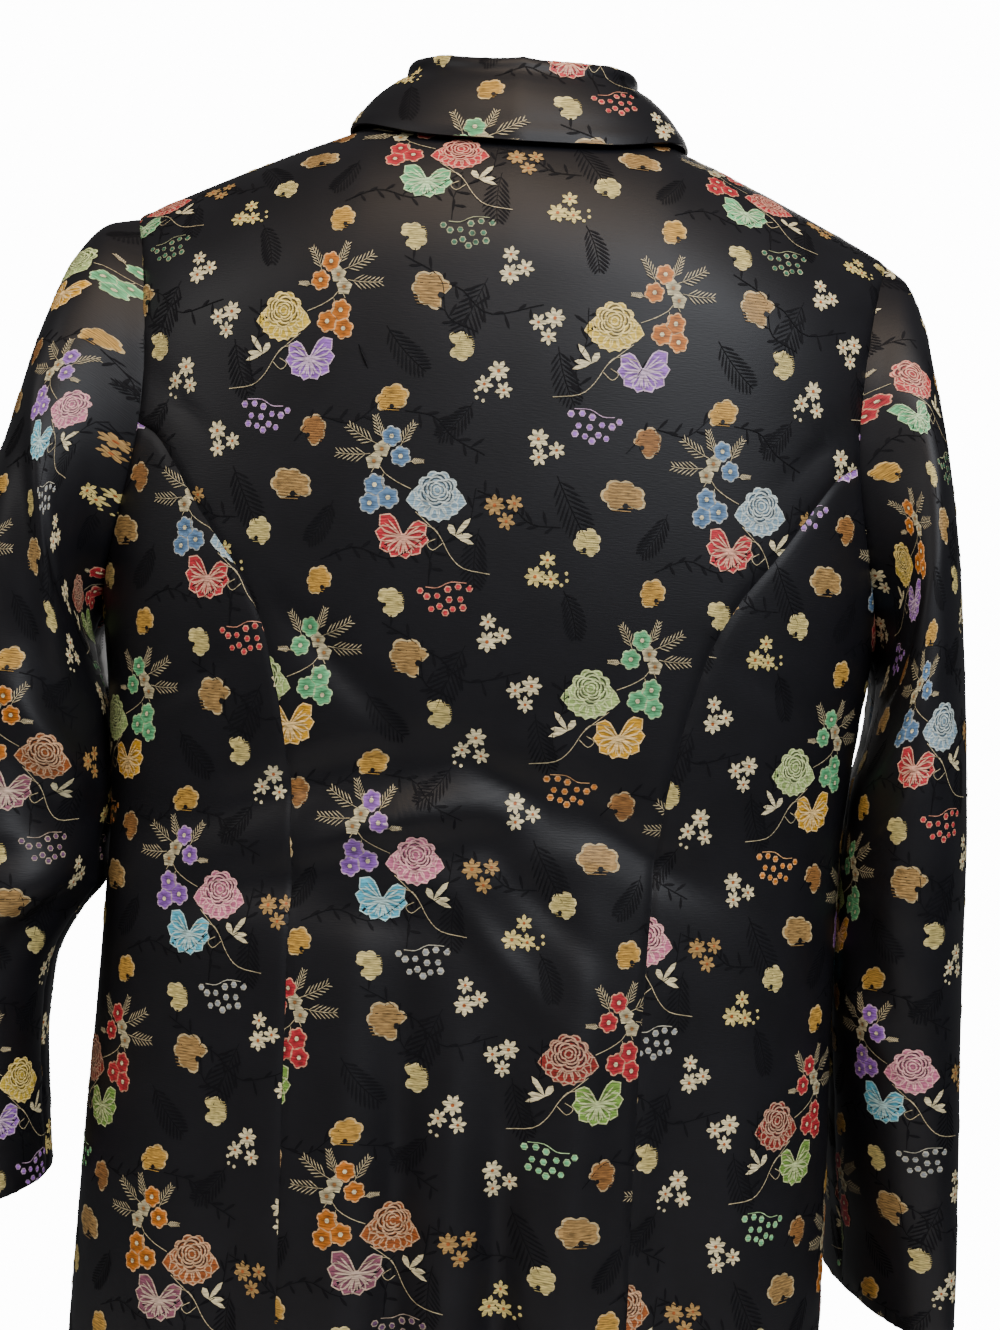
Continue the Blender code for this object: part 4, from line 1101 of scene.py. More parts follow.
class Motif:
    """Flat points with their height above the cloth, faces and thread colours, in millimetres."""

    def __init__(self, mirrored=False):
        self.points, self.faces, self.colours = [], [], []
        self.sign = -1 if mirrored else 1

    def add(self, points, faces, colour, lift):
        first = len(self.points)
        self.points += [(self.sign * x, y, lift) for x, y in points]
        self.faces += [tuple(first + i for i in face)[::self.sign] for face in faces]
        self.colours += colour if isinstance(colour, list) else [paint(colour)] * len(points)

    def grid(self, rows, colour, lift):
        """Faces between rows of points that all have the same number of points."""
        count = len(rows[0])
        faces = [(a, a + count, a + count + 1, a + 1) for r in range(len(rows) - 1)
                 for a in range(r * count, r * count + count - 1)]
        self.add(np.concatenate(rows).tolist(), faces, colour, lift)


def petal(motif, base, angle, length, width, colour, blunt, lift=GROUND_LIFT, outline=None, steps=5):
    """A petal, widest at blunt of its length. An outline is a line of another thread round it."""
    along = np.linspace(0, 1, steps + 1)
    shape = np.sin(math.pi * along ** (math.log(0.5) / math.log(blunt))) ** PETAL_POWER
    ahead = heading(angle)
    middle = np.array(base) + np.outer(along * length, ahead)
    half = np.outer(shape * width / 2, aside(ahead))
    motif.grid([middle + half, middle, middle - half], shaded(colour, along), lift)
    if outline:
        edge = np.concatenate([middle + half, (middle - half)[-2::-1]])
        ribbon(motif, edge, LINE_WIDTH, outline, lift + OUTLINE_RISE)


def shaded(colour, along):
    """A thread's colour for three rows of points, darker where the petal starts."""
    light = (BASE_SHADE + (TIP_SHADE - BASE_SHADE) * along**SHADE_POWER)[:, None]
    return [tuple(row) for row in np.tile(light * np.array(paint(colour)), (3, 1))]


def ribbon(motif, line, width, colour, lift=LINE_LIFT):
    """A flat thread along a line of points."""
    half = width / 2 * aside(unit(np.gradient(line, axis=0)))
    motif.grid([line + half, line - half], colour, lift)


def curve(*points, count=9):
    """A soft line through a few points."""
    rows = np.array(points, float)[:, None, :]
    return smooth_rows(rows, count)[:, 0]


def dot(motif, centre, radius, colour, lift):
    ring = np.array(centre) + radius * heading(np.arange(6) * 60)
    motif.add(ring.tolist(), [tuple(range(6))], colour, lift)


def leaflet(motif, base, angle, length, width, colour, lift=TOP_LIFT):
    """A small leaf or petal of six points."""
    ahead = length * heading(angle)
    half = width / length / 2 * aside(ahead)
    base = np.array(base)
    near, far = base + LEAF_NEAR * ahead, base + LEAF_FAR * ahead
    points = [base, near + NEAR_WIDTH * half, near - NEAR_WIDTH * half, far + half, far - half, base + ahead]
    motif.add([tuple(point) for point in points], [(0, 2, 1), (1, 2, 4, 3), (3, 4, 5)], colour, lift)


def patch(motif, centre, radius, lobes, colour, lift=GROUND_LIFT, squash=1.0, depth=0.16,
          notch=None, turn=0.0, rim=False):
    """A scalloped patch, or only its rim. A notch is the angle of a bite taken out of its side."""
    sides = lobes * LOBE_POINTS
    angles = np.radians(turn) + np.arange(sides) * 2 * math.pi / sides
    swell = 1 + UNEVEN * np.sin(2 * angles + notch) if notch else 1
    scallops = np.abs(np.sin((angles - np.radians(turn)) * lobes / 2)) ** LOBE_POWER
    reach = swell * radius * (1 - depth + depth * scallops)
    if notch is not None:
        off = (np.degrees(angles) - notch + 180) % 360 - 180
        reach = reach * (1 - NOTCH_DEEP * bump(off, NOTCH_WIDE))
    ring = np.stack([np.cos(angles), np.sin(angles) * squash], -1) * reach[:, None]
    inside = ring * (RIM_INSIDE if rim else PATCH_INSIDE)
    points = [centre, *(np.array(centre) + inside), *(np.array(centre) + ring)]
    faces = []
    for i in range(sides):
        k = (i + 1) % sides
        faces += [(1 + i, 1 + sides + i, 1 + sides + k, 1 + k)]
        if not rim:
            faces += [(0, 1 + i, 1 + k)]
    if rim:
        points, faces = points[1:], [tuple(i - 1 for i in face) for face in faces]
    motif.add([tuple(point) for point in points], faces, colour, lift)

# %% [markdown]
# ## The flowers
#
# One spray repeats over the cloth: a peony, a flower with wings like a butterfly, small blossoms between
# fine leaves, a curling stem and a bunch of berries. Between the sprays lie golden plum-shaped patches and
# groups of little daisies. Cream threads outline the petals.

# %% Small flowers
BLOSSOM_TURN = 18
# Sizes as shares of a blossom's radius, or of a sprig's length.
BLOSSOM_EDGE, BLOSSOM_PETAL, BLOSSOM_HEART = 1.1, 0.86, 0.24
SPRIG_LEAVES = 5
SPRIG_BEND = 14
SPRIG_SPREAD = 36
SPRIG_REACH, SPRIG_TAPER = 0.46, 0.5
SPRIG_RIB, SPRIG_LEAF = 0.30, 0.46


def blossom(motif, centre, radius, colour, petals=5, heart="cream", outline=None):
    """A small open flower, with a scalloped edge of another thread behind it if asked."""
    if outline:
        turn = BLOSSOM_TURN + 180 / petals
        patch(motif, centre, radius * BLOSSOM_EDGE, petals, outline, depth=0.2, turn=turn)
    for i in range(petals):
        angle = BLOSSOM_TURN + 360 / petals * i
        petal(motif, centre, angle, radius, radius * BLOSSOM_PETAL, colour, 0.66, TOP_LIFT, steps=3)
    dot(motif, centre, radius * BLOSSOM_HEART, heart, LINE_LIFT)


def sprig(motif, base, angle, length):
    """A fine leaf: a bent rib with thin leaflets on both sides."""
    turns = angle + np.linspace(0, SPRIG_BEND, SPRIG_LEAVES + 2)
    steps = length / (SPRIG_LEAVES + 1) * heading(turns)
    rib = np.array(base) + np.concatenate([[(0, 0)], np.cumsum(steps, 0)])
    ribbon(motif, rib, SPRIG_RIB, "flax")
    for i in range(1, SPRIG_LEAVES + 2):
        reach = length * SPRIG_REACH * (1 - SPRIG_TAPER * i / (SPRIG_LEAVES + 2))
        for spread in (-SPRIG_SPREAD, SPRIG_SPREAD):
            leaflet(motif, rib[i], turns[i] + spread, reach, SPRIG_LEAF, "flax", LINE_LIFT)


DAISY_HEADS = ((-4.2, 2.6, 4.6, 6), (4.6, 4.4, 5.4, 7), (1.2, -4.8, 4.4, 6))
DAISY_PETAL, DAISY_HEART = 0.44, 0.18


def daisies(motif, colour, seed, dots):
    """Three daisies of different size, close together, with dots beside some groups."""
    draw = np.random.default_rng(seed)
    for x, y, radius, petals in DAISY_HEADS:
        centre = np.array((x, y)) + draw.uniform(-0.7, 0.7, 2)
        turn = draw.uniform(0, 60)
        for k in range(petals):
            leaflet(motif, centre, turn + 360 / petals * k, radius, radius * DAISY_PETAL, colour)
        dot(motif, centre, radius * DAISY_HEART, "brown", LINE_LIFT)
    for i in range(dots):
        dot(motif, (-9.5 - 1.6 * (i % 2), 3.2 - 3.1 * i), 0.95, colour, TOP_LIFT)


PLUM_LOBES = 7
PLUM_SQUASH = 0.88
# Sizes and places in it, as shares of its radius.
PLUM_BODY = 0.88
PLUM_ROWS = np.arange(-0.72, 0.73, 0.16)
ROW_REACH, ROW_SHIFT, ROW_WIDTH = 0.66, 0.28, 0.04
EYE_OUT, EYE_SIZE = 0.42, 0.15


def plum(motif, colour, radius, notch):
    """A golden patch like a plum blossom from the side, woven in rows, with a bite and a dark eye."""
    shape = {"squash": PLUM_SQUASH, "notch": notch}
    patch(motif, (0, 0), radius, PLUM_LOBES, blend(colour, "cream", 0.45), rim=True, **shape)
    patch(motif, (0, 0), radius * PLUM_BODY, PLUM_LOBES, colour, TOP_LIFT, **shape)
    ahead = heading(notch)
    for row in PLUM_ROWS:
        reach = radius * ROW_REACH * math.sqrt(1 - row**2)
        along = np.linspace(-reach, reach, 4) - ahead[0] * ROW_SHIFT * radius
        line = np.stack([along, np.full(4, row * radius * PLUM_SQUASH)], -1)
        ribbon(motif, line, radius * ROW_WIDTH, blend(colour, "black", 0.32))
    dot(motif, radius * EYE_OUT * ahead, radius * EYE_SIZE, "black", LINE_LIFT + 0.05)

# %% Peony and winged flower
# Petals by angle, length and width.
PEONY_PETALS = ((188, 14.5, 8), (-8, 15, 8.5), (166, 11.5, 8), (14, 12, 8), (214, 12.5, 8),
                (238, 12, 8), (262, 11.8, 8), (286, 11.5, 8), (312, 12, 8), (334, 12.5, 8))
WINGS = ((150, 13.0, 7.8), (184, 12.5, 7.6), (220, 11.5, 7.2), (258, 10.5, 6.6),
         (40, 15.5, 8.0), (8, 13.8, 7.8), (-28, 12.6, 7.4), (-62, 11.0, 6.8))
# The dome's rings of cupped petals, by radius and number of petals. Each ring is turned on from the last,
# its petals lap, their ends curl in, and a dark line runs at this share inside each.
DOME = np.array([0, 3.0])
DOME_SQUASH = 0.94
DOME_RINGS = ((8.9, 6), (7.2, 5), (5.5, 4), (3.8, 3), (2.0, 2))
RING_TURN, CUP_LAP, CUP_CURL, DARK_INSIDE = 37, 1.12, 0.22, 0.88


def peony(motif, colour):
    """A full blossom seen from the side: low petals all round and a ruffled dome on top."""
    rim, deep = blend(colour, "bright", 0.34), blend(colour, "black", 0.88)
    for angle, length, width in PEONY_PETALS:
        petal(motif, (0, -0.5), angle, length, width, colour, blunt=0.7, outline=rim)
    # The dome: cupped petals nested inside one another, each a light edge with a dark line inside it.
    dome = {"squash": DOME_SQUASH, "turn": 10}
    patch(motif, DOME, 10.4, 9, rim, TOP_LIFT, rim=True, **dome)
    patch(motif, DOME, 9.6, 9, blend(colour, "black", 0.30), TOP_LIFT + 0.08, **dome)
    share = np.linspace(0, 1, 6)
    for ring, (radius, parts) in enumerate(DOME_RINGS):
        for part in range(parts):
            turns = RING_TURN * ring + 360 / parts * (part + CUP_LAP * share)
            reach = radius * (1 - CUP_CURL * (2 * share - 1) ** 2)
            edge = reach[:, None] * heading(turns) * (1, DOME_SQUASH)
            ribbon(motif, edge * DARK_INSIDE + DOME, 0.7, deep, LINE_LIFT + 0.06)
            ribbon(motif, edge + DOME, 0.85, rim, LINE_LIFT + 0.14)


def winged_flower(motif, centre, colour):
    """Petals spread to both sides like a butterfly's wings."""
    rim = blend(colour, "bright", 0.42)
    for angle, length, width in WINGS:
        petal(motif, centre, angle, length, width, colour, blunt=0.68, outline=rim)
        inner = centre + 1.5 * heading(angle)
        for spread in (-7, 7):
            leaflet(motif, inner, angle + spread, length * 0.66, 0.8, rim, TOP_LIFT + 0.12)
    dot(motif, centre, 1.8, rim, LINE_LIFT + 0.1)


def spray(motif, band):
    """The whole spray in the colours of one band."""
    winged_flower(motif, (15.5, -20.5), band.wings)
    for x, y, angle, length in ((19.5, 23, 112, 12), (28, 26, 62, 11), (31, 24, 22, 15), (34, 19, -8, 15),
                                (14.5, 16, 168, 6)):
        sprig(motif, (x, y), angle, length)
    stems = (
        curve((33, 10), (30, 14), (26.5, 10), (20, 6), (13, 3)),
        curve((27, 9.5), (27.5, 5.5), (26, 2)),
        curve((10, -8), (4, -13), (-2.5, -19), (-8, -28), (-15, -34), (-28, -36), count=16),
        curve((13.5, -16.5), (6.5, -14.5), (0.5, -15.5), (-3.5, -20.5), count=10),
        curve((-4, -22.5), (0.5, -26), (3.5, -23), (-0.5, -20.5), count=10),
    )
    for stem in stems:
        ribbon(motif, stem, 0.36, "flax")
    for angle, length, width in ((128, 11.5, 2.6), (176, 8.5, 2.4), (58, 6.5, 3.2), (200, 10, 2.0)):
        leaflet(motif, (-10, -18.5), angle, length, width, "cream")
    around = blend(band.flowers, "cream", 0.5)
    flowers = (((24, 28), 4.8), ((19, 18.5), 4.8), ((31, 4), 5.2), ((24, -1.8), 5.2), ((33, -5), 5.0))
    for centre, radius in flowers:
        blossom(motif, centre, radius, band.flowers, petals=6, outline=around)
    for centre, radius in (((28.5, 21.5), 4.4), ((32, 15.5), 4.4)):
        blossom(motif, centre, radius, "cream", heart="bronze")
    peony(motif, band.peony)
    rim = blend(band.berries, "cream", 0.45)
    berries = ((-18.5, -43.5), (-13, -43), (-14.5, -49), (-16, -53), (-9, -49.5), (-3, -48), (2, -48.5),
               (5.5, -46), (-11, -54), (-7.5, -56), (-4.5, -53), (-0.5, -54.5), (-8, -44.5))
    for i, centre in enumerate(berries):
        dot(motif, centre, 1.9 - 0.15 * (i % 3), rim, GROUND_LIFT)
        dot(motif, centre, 1.2, band.berries, TOP_LIFT)
    ribbon(motif, curve((-17, -41), (-9, -41), (-3, -44), (3, -44), count=10), 0.4, rim)

# %% [markdown]
# ## Black on black
#
# Ferns and thin branches are woven in the black of the ground. They show only because their threads lie the
# other way and catch the light differently, so they get shapes and a finish of their own.

# %% Ferns and branches
FERN_LEAVES = 11
FERN_SPREAD = 42
FERN_REACH, FERN_START, FERN_SPAN = 0.36, 0.18, 0.74


def fern(motif, length, lean):
    """A hanging rib with leaflets on both sides, longest in the middle."""
    turns = -90 + lean * np.linspace(0, 1, FERN_LEAVES + 1)
    steps = length / FERN_LEAVES * heading(turns[:-1])
    rib = np.concatenate([[(0, 0)], np.cumsum(steps, 0)])
    ribbon(motif, rib, 0.35, "black", TOP_LIFT)
    for i in range(1, FERN_LEAVES):
        reach = length * FERN_REACH * math.sin(math.pi * (FERN_START + FERN_SPAN * i / FERN_LEAVES))
        for spread in (-FERN_SPREAD, FERN_SPREAD):
            leaflet(motif, rib[i], turns[i] + spread, reach, 1.0, "black", GROUND_LIFT + 0.04 * (i % 2))


def branch(motif, length, seed):
    """A wavy twig with leaves to either side in turn."""
    draw = np.random.default_rng(seed)
    first, second = (length * 0.3, draw.uniform(4, 9)), (length * 0.62, draw.uniform(-3, 5))
    line = curve((0, 0), first, second, (length, draw.uniform(6, 16)), count=14)
    ribbon(motif, line, 0.45, "black", TOP_LIFT)
    for i in range(1, len(line) - 1):
        angle = draw.uniform(25, 70) * (1 if i % 2 else -1)
        leaflet(motif, line[i], angle, draw.uniform(4.5, 8.5), 1.4, "black", GROUND_LIFT)

# %% The pattern book
def motif_mesh(number, motif):
    """One motif as a flat mesh in metres, with its thread colours."""
    points = np.array(motif.points) * MM
    mesh = bpy.data.meshes.new(f"motif_{number:02d}")
    mesh.from_pydata(points.tolist(), [], motif.faces)
    mesh.update()
    layer = mesh.color_attributes.new("thread", "FLOAT_COLOR", "POINT")
    colours = np.concatenate([np.array(motif.colours), np.ones((len(points), 1))], 1)
    layer.data.foreach_set("color", colours.astype(np.float32).reshape(-1))
    return bpy.data.objects.new(mesh.name, mesh)


def pattern_book(name, motifs):
    book = bpy.data.collections.new(name)
    for number, motif in enumerate(motifs):
        book.objects.link(motif_mesh(number, motif))
    faces = sum(len(motif.faces) for motif in motifs)
    print(name, "motifs:", len(motifs), "faces:", faces)
    return book


Repeat = namedtuple("Repeat", "kind across down spin")
SPRAYS = len(BANDS) * 2
PLUMS = (
    ("pale gold", 7.8, 250), ("gold", 8.0, 300), ("pale gold", 7.6, 205), ("tan", 10.8, 330),
    ("pale gold", 7.6, 180), ("gold", 8.4, 270), ("bronze", 8.2, 225), ("tan", 10.6, 285),
)
DAISIES = (("cream", 0), ("cream", 3), ("cream", 0), ("tan", 0), ("pale gold", 3), ("cream", 0))


FERNS = ((30, 20), (25, -26), (34, 8))
BRANCHES = (52, 44, 60)


def drawn(draw, *values, mirrored=False):
    """A new motif, drawn by one of the functions above."""
    motif = Motif(mirrored)
    draw(motif, *values)
    return motif


def woven_motifs():
    """Sprays in the colours of all bands, then plum patches, then daisies."""
    motifs = [drawn(spray, BANDS[i % len(BANDS)], mirrored=i % 2 == 1) for i in range(SPRAYS)]
    motifs += [drawn(plum, *row) for row in PLUMS]
    return motifs + [drawn(daisies, colour, seed, dots) for seed, (colour, dots) in enumerate(DAISIES)]


def damask_motifs():
    """Ferns, then branches."""
    motifs = [drawn(fern, *row) for row in FERNS]
    return motifs + [drawn(branch, length, seed) for seed, length in enumerate(BRANCHES)]


# Places in one repeat of the pattern, as shares of its width and height, from the first peony.
PLUM_PLACES = ((0.96, 0.59), (0.17, 0.72), (0.39, 0.77), (0.46, 0.92),
               (0.55, 0.07), (0.36, 0.22), (0.12, 0.31), (0.06, 0.46))
DAISY_PLACES = ((0.80, 0.01), (0.66, 0.17), (0.82, 0.34), (0.715, 0.51), (0.845, 0.67), (0.70, 0.84))
# Ferns and branches are also turned, in degrees.
FERN_PLACES = ((0.84, 0.06, 10), (0.60, 0.22, -30), (0.86, 0.41, 25), (0.64, 0.56, -10),
               (0.90, 0.72, 30), (0.62, 0.88, -25), (0.33, 0.02, 35), (0.20, 0.50, -20))
BRANCH_PLACES = ((0.06, 0.34, 20), (0.40, 0.25, -35), (0.17, 0.66, 5), (0.50, 0.72, 60),
                 (0.88, 0.55, 150), (0.42, 0.90, -20), (0.60, 0.03, 130), (0.92, 0.20, 80))

# %% [markdown]
# ## Weaving the pattern over a panel
#
# The repeat is about 166 mm wide and 179 mm high, with a second, mirrored spray in its middle. A table of
# points says which motif goes where on the flat cloth. A tree of Geometry Nodes puts the motifs there, ends
# them at the seams, looks up where each flat point lies on the sewn panel, and lifts it by its thread's
# height. Sampling by the map of the cloth was chosen because flowers then bend with every fold.

# %% Places of the motifs
PATTERN_WIDTH = 0.166
PATTERN_HEIGHT = 0.179
PATTERN_RISE = 0.0035
SECOND_SPRAY = (0.51, 0.48)
DAISY_SPIN = 40
REACH = 0.07


def one_repeat(row):
    """The motifs in one repeat of a row: kind, across, down and turn, the coloured and the black ones."""
    coloured = [(2 * row % SPRAYS, 0, 0, 0), ((2 * row + 1) % SPRAYS, *SECOND_SPRAY, 0)]
    coloured += [(SPRAYS + i, *spot, 0) for i, spot in enumerate(PLUM_PLACES)]
    coloured += [(SPRAYS + len(PLUMS) + i, *spot, DAISY_SPIN * i) for i, spot in enumerate(DAISY_PLACES)]
    black = [(i % len(FERNS), *spot) for i, spot in enumerate(FERN_PLACES)]
    return coloured, black + [(len(FERNS) + i % len(BRANCHES), *spot) for i, spot in enumerate(BRANCH_PLACES)]


def repeats(flat, start):
    """Every motif that can touch a panel, whose map starts the pattern at the given place."""
    low, high = flat.reshape(-1, 2).min(0) - REACH, flat.reshape(-1, 2).max(0) + REACH
    first_column = math.floor((low[0] - start[0]) / PATTERN_WIDTH) - 1
    last_column = math.ceil((high[0] - start[0]) / PATTERN_WIDTH)
    first_row = math.floor((start[1] - high[1]) / PATTERN_HEIGHT) - 1
    last_row = math.ceil((start[1] - low[1]) / PATTERN_HEIGHT)
    laid = [], []
    for column_number in range(first_column, last_column + 1):
        for row in range(first_row, last_row + 1):
            for places, spots in zip(laid, one_repeat(row)):
                for kind, across, down, turn in spots:
                    x = start[0] + (column_number + across) * PATTERN_WIDTH
                    y = start[1] - (row + down) * PATTERN_HEIGHT + PATTERN_RISE * (column_number + across)
                    if low[0] < x < high[0] and low[1] < y < high[1]:
                        places.append(Repeat(kind, x, y, math.radians(turn)))
    return laid


def points_object(places):
    """A point for each motif, carrying which one it is and how it is turned."""
    mesh = bpy.data.meshes.new("places")
    mesh.from_pydata([(spot.across, spot.down, 0) for spot in places], [], [])
    for name, kind in (("kind", "INT"), ("spin", "FLOAT")):
        layer = mesh.attributes.new(name, kind, "POINT")
        layer.data.foreach_set("value", [getattr(spot, name) for spot in places])
    return in_scene("places", mesh)


def outline_object(flat):
    """The edge of a panel on its flat map, as a line."""
    edge = np.concatenate([flat[0, :-1], flat[:-1, -1], flat[-1, :0:-1], flat[:0:-1, 0]])
    mesh = bpy.data.meshes.new("outline")
    count = len(edge)
    mesh.from_pydata([(x, y, 0) for x, y in edge], [(i, (i + 1) % count) for i in range(count)], [])
    return in_scene("outline", mesh)

# %% The laying tree
BARELY, HALF = 0.01, 0.5


def laying_tree():
    """Puts motifs at points of the flat map, ends them at the seams and lays them on the sewn panel."""
    tree = bpy.data.node_groups.new("lay motifs on cloth", "GeometryNodeTree")
    add_sockets(tree, "INPUT", {"Places": "Geometry", "Motifs": "Collection", "Skin": "Object",
                                "Outline": "Object", "Finish": "Material", "Inset": "Float"})
    add_sockets(tree, "OUTPUT", {"Flowers": "Geometry"})
    node = adder(tree)

    def attribute(name, kind):
        made = node("GeometryNodeInputNamedAttribute", {"Name": name}, data_type=kind)
        return shown(made.outputs, "Attribute")

    def vectors(operation, inputs):
        return node("ShaderNodeVectorMath", inputs, operation=operation).outputs[0]

    def less(name, limit):
        return node("FunctionNodeCompare", {"A": attribute(name, "FLOAT"), "B": limit},
                    operation="LESS_THAN", data_type="FLOAT").outputs[0]

    start = node("NodeGroupInput").outputs
    book = node("GeometryNodeCollectionInfo", {
        "Collection": start["Motifs"], "Separate Children": True, "Reset Children": True}).outputs[0]
    spin = node("ShaderNodeCombineXYZ", {"Z": attribute("spin", "FLOAT")}).outputs[0]
    laid = node("GeometryNodeInstanceOnPoints", {
        "Points": start["Places"], "Instance": book, "Pick Instance": True,
        "Instance Index": attribute("kind", "INT"), "Rotation": spin}).outputs[0]
    flat = node("GeometryNodeRealizeInstances", {"Geometry": laid}).outputs[0]
    skin = node("GeometryNodeObjectInfo", {"Object": start["Skin"]}).outputs["Geometry"]
    edge = node("GeometryNodeObjectInfo", {"Object": start["Outline"]}).outputs["Geometry"]
    where = node("GeometryNodeInputPosition").outputs[0]
    cloth_map = attribute("cloth", "FLOAT_VECTOR")

    def sample(value):
        return node("GeometryNodeSampleUVSurface", {
            "Mesh": skin, "Value": value, "UV Map": cloth_map, "Sample UV": where},
            data_type="FLOAT_VECTOR").outputs

    # Points beyond a seam move onto it, and a face that has no point inside goes.
    inside = node("GeometryNodeStoreNamedAttribute", {
        "Geometry": flat, "Name": "inside", "Value": sample(where)["Is Valid"]},
        data_type="FLOAT", domain="POINT").outputs[0]
    kept = node("GeometryNodeDeleteGeometry", {
        "Geometry": inside, "Selection": less("inside", BARELY)}, domain="FACE").outputs[0]
    nearest = node("GeometryNodeProximity", {"Geometry": edge}, target_element="EDGES").outputs["Position"]
    height = node("ShaderNodeSeparateXYZ", {"Vector": where}).outputs["Z"]
    way_in = vectors("MULTIPLY", {0: vectors("SUBTRACT", {0: nearest, 1: where}), 1: (1, 1, 0)})
    step = vectors("SCALE", {0: vectors("NORMALIZE", {0: way_in}), "Scale": start["Inset"]})
    lift = node("ShaderNodeCombineXYZ", {"Z": height}).outputs[0]
    seamed = vectors("ADD", {0: vectors("ADD", {0: nearest, 1: step}), 1: lift})
    moved = node("GeometryNodeSetPosition", {
        "Geometry": kept, "Selection": less("inside", HALF), "Position": seamed}).outputs[0]
    mapped = node("GeometryNodeStoreNamedAttribute", {
        "Geometry": moved, "Name": "cloth", "Value": where}, data_type="FLOAT2", domain="CORNER").outputs[0]
    on_cloth = sample(where)
    lost = node("FunctionNodeBooleanMath", {0: on_cloth["Is Valid"]}, operation="NOT").outputs[0]
    whole = node("GeometryNodeDeleteGeometry", {
        "Geometry": mapped, "Selection": lost}, domain="POINT").outputs[0]
    square = sample(attribute("outwards", "FLOAT_VECTOR"))[0]
    final = vectors("ADD", {0: on_cloth[0], 1: vectors("SCALE", {0: square, "Scale": height})})
    woven_on = node("GeometryNodeSetPosition", {"Geometry": whole, "Position": final}).outputs[0]
    dressed = node("GeometryNodeSetMaterial", {"Geometry": woven_on, "Material": start["Finish"]}).outputs[0]
    node("NodeGroupOutput", {"Flowers": dressed})
    return tree


LAYING = laying_tree()
SOCKETS = {item.name: item.identifier for item in LAYING.interface.items_tree if item.in_out == "INPUT"}
INSET = 0.00015


def lay(name, panel, places, book, material):
    """The motifs on one panel as a plain mesh of their own."""
    holder, outline = points_object(places), outline_object(panel.flat)
    modifier = holder.modifiers.new("laying", "NODES")
    modifier.node_group = LAYING
    values = {"Motifs": book, "Skin": panel.skin, "Outline": outline, "Finish": material, "Inset": INSET}
    for socket, value in values.items():
        modifier[SOCKETS[socket]] = value
    ready = holder.evaluated_get(bpy.context.evaluated_depsgraph_get())
    mesh = bpy.data.meshes.new_from_object(ready)
    mesh.name = name
    piece = in_scene(name, mesh)
    for used in (holder, outline):
        bpy.data.objects.remove(used)
    print(name, "motifs:", len(places), "faces:", len(mesh.polygons))
    return piece

# %% Weaving finishes
FLOAT_DARK, FLOAT_LIGHT = (0.002, 0.002, 0.003), (0.006, 0.006, 0.008)
# The rib noise scales the coloured threads' colour between these numbers: painted shade between the threads
# at the low end, painted glints on them at the high end.
GLINT_FROM_LOW, GLINT_FROM_HIGH = 0.3, 0.7
PAINTED_THREAD_SHADE, PAINTED_GLINT_PEAK = 0.36, 1.45


def float_material(name, roughness, gloss, coloured):
    """Threads that lie on the ground: coloured ones take the colour of their motif, with painted glints and
    painted shade between the threads.
    """
    material, node, weave, shader = woven(name, 1400, 60, FLOAT_DARK, FLOAT_LIGHT, roughness, gloss, 0.00014)
    if coloured:
        thread = node("ShaderNodeVertexColor", layer_name="thread")
        # Painted glints and painted shade: the rib noise that makes the bump also brightens and darkens the
        # thread colour.
        glint_shade = node("ShaderNodeMapRange", {
            "Value": weave.outputs["Height"], "From Min": GLINT_FROM_LOW, "From Max": GLINT_FROM_HIGH,
            "To Min": PAINTED_THREAD_SHADE, "To Max": PAINTED_GLINT_PEAK})
        shade = node("ShaderNodeMix", {"Factor": 1.0, "A": thread.outputs["Color"], "B": glint_shade.outputs[0]},
                     data_type="RGBA", blend_type="MULTIPLY")
        material.node_tree.links.new(shade.outputs["Result"], shader.inputs["Base Color"])
    return material


coloured_threads = float_material("coloured_threads", 0.5, 0.3, True)
black_threads = float_material("black_threads", 0.70, 0.14, False)

# %% Weaving the panels
woven_book = pattern_book("woven motifs", woven_motifs())
damask_book = pattern_book("damask motifs", damask_motifs())
# Where a yellow peony lies on each panel's own map.
PATTERN_STARTS = {
    "centre_back": (-0.113, -0.185), "side_back_left": (-0.217, -0.210), "side_back_right": (0.172, -0.215),
    "front_left": (0.050, -0.200), "front_right": (-0.045, -0.230), "sleeve_left": (0.044, 0.512),
    "sleeve_right": (-0.171, 0.200), "collar_stand": (0.020, 0.060), "collar_fall": (-0.043, 0.100),
}
laid_on = {}
for panel in panels:
    woven_places, black_places = repeats(panel.flat, PATTERN_STARTS[panel.name])
    laid_on[panel.name] = [
        lay(panel.name + "_flowers", panel, woven_places, woven_book, coloured_threads),
        lay(panel.name + "_ferns", panel, black_places, damask_book, black_threads),
    ]
    for piece in laid_on[panel.name]:
        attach(piece, "root")

# %% [markdown]
# ## Covered buttons
#
# The buttons are small domes covered in plain satin. The measured solids already have their shape, so they
# stay and only get the finish.

# %% Button finish
cover = finish("button_satin", {
    "Base Color": (0.0055, 0.0055, 0.0070, 1), "Roughness": 0.45, "Specular IOR Level": 0.4})[0]
for name, node in frame["nodes"].items():
    if name.startswith("button"):
        node.data.materials.clear()
        node.data.materials.append(cover)

# %% [markdown]
# ## Clearing away the helpers
#
# The bare skins and the pattern books served only to lay the flowers, so they are removed.

# %% Clearing the helpers
for panel in panels:
    bpy.data.objects.remove(panel.skin)
for book in (woven_book, damask_book):
    for motif in list(book.objects):
        bpy.data.objects.remove(motif)
    bpy.data.collections.remove(book)

# %% [markdown]
# ## Light, floor and camera
#
# The camera looks at the back from close by, a little above the waist, as the photograph does. A soft cool
# light from the right reaches the middle of the back, and a warm one from above reaches the shoulders, while
# the hem falls into the dark.

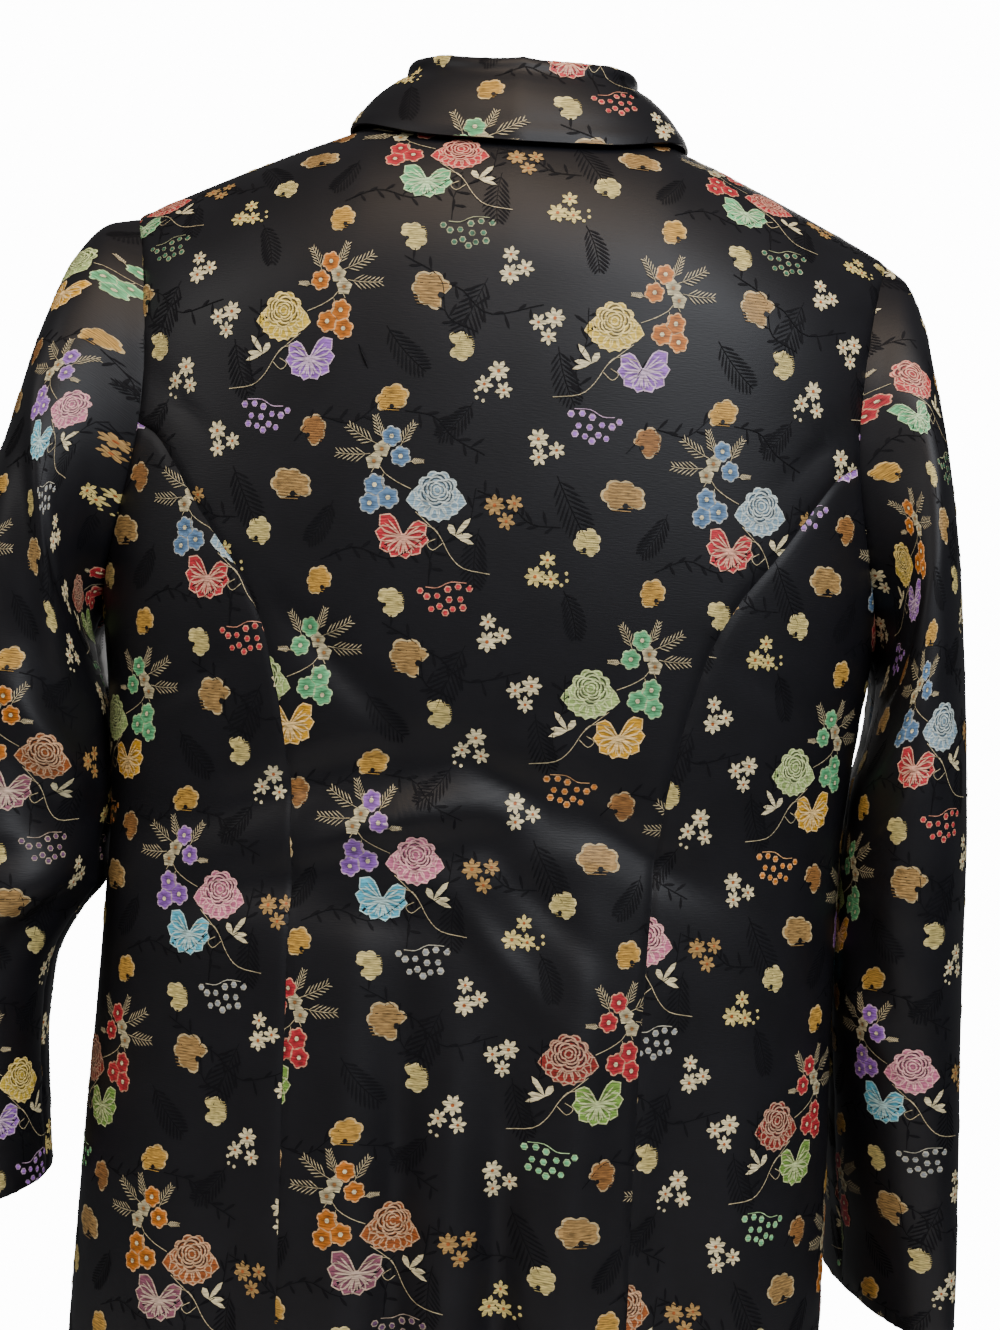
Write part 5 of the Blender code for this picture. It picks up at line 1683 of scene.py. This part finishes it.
# %% Lights
def soft_light(name, spot, target, size, power_watts, colour):
    """A round lamp at a spot, turned to its target."""
    lamp = bpy.data.lights.new(name, "AREA")
    lamp.shape = "DISK"
    lamp.size = size
    lamp.energy = power_watts
    lamp.color = colour
    holder = in_scene(name, lamp)
    holder.location = spot
    direction = np.array(target) - np.array(spot)
    holder.rotation_euler = mathutils.Vector(direction).to_track_quat("-Z", "Y").to_euler()


soft_light("cool key", (0.55, -1.15, 0.52), (0.08, -0.1, -0.14), 0.8, 21, (0.88, 0.93, 1.0))
soft_light("warm top", (0.0, -0.8, 1.1), (0, -0.02, 0), 1.0, 17, (1.0, 0.76, 0.55))
soft_light("left fill", (-1.4, -0.9, 0.5), (-0.1, 0, -0.1), 0.9, 9, (1.0, 0.97, 0.94))
soft_light("front fill", (0.3, 1.9, 0.5), (0, 0, -0.3), 1.4, 22, (1.0, 0.98, 0.95))

world = bpy.data.worlds.new("pale room")
world.use_nodes = True
bpy.context.scene.world = world
node = adder(world.node_tree)
lit = node("ShaderNodeBackground", {"Color": (0.95, 0.97, 1.0, 1), "Strength": 0.13})
seen = node("ShaderNodeBackground", {"Color": (1, 1, 1, 1), "Strength": 14.0})
ray = node("ShaderNodeLightPath").outputs["Is Camera Ray"]
chooser = node("ShaderNodeMixShader", {0: ray, 1: lit.outputs[0], 2: seen.outputs[0]})
world.node_tree.links.new(chooser.outputs[0], world.node_tree.nodes["World Output"].inputs["Surface"])

# %% Floor and camera
FLOOR_RADIUS = 0.5
FLOOR_PLACE = (0, -0.2, -0.80)
bpy.ops.mesh.primitive_circle_add(vertices=96, radius=FLOOR_RADIUS, fill_type="NGON", location=FLOOR_PLACE)
floor = bpy.context.object
floor.name = "floor"
floor.data.materials.append(finish("pale_floor", {"Base Color": (0.8, 0.8, 0.8, 1)})[0])

CAMERA_PLACE = (0.0075, -0.85, -0.2933)
CAMERA_ROLL = 3.6
HALF_PICTURE = 0.3644
lens = bpy.data.cameras.new("camera")
lens.sensor_fit = "VERTICAL"
lens.angle = 2 * math.atan(HALF_PICTURE / abs(CAMERA_PLACE[1]))
lens.clip_start = 0.01
camera = in_scene("camera", lens)
level = mathutils.Matrix.Rotation(RIGHT_ANGLE, 4, "X")
tilt = mathutils.Matrix.Rotation(math.radians(-CAMERA_ROLL), 4, "Y")
camera.matrix_world = mathutils.Matrix.Translation(CAMERA_PLACE) @ tilt @ level
bpy.context.scene.camera = camera
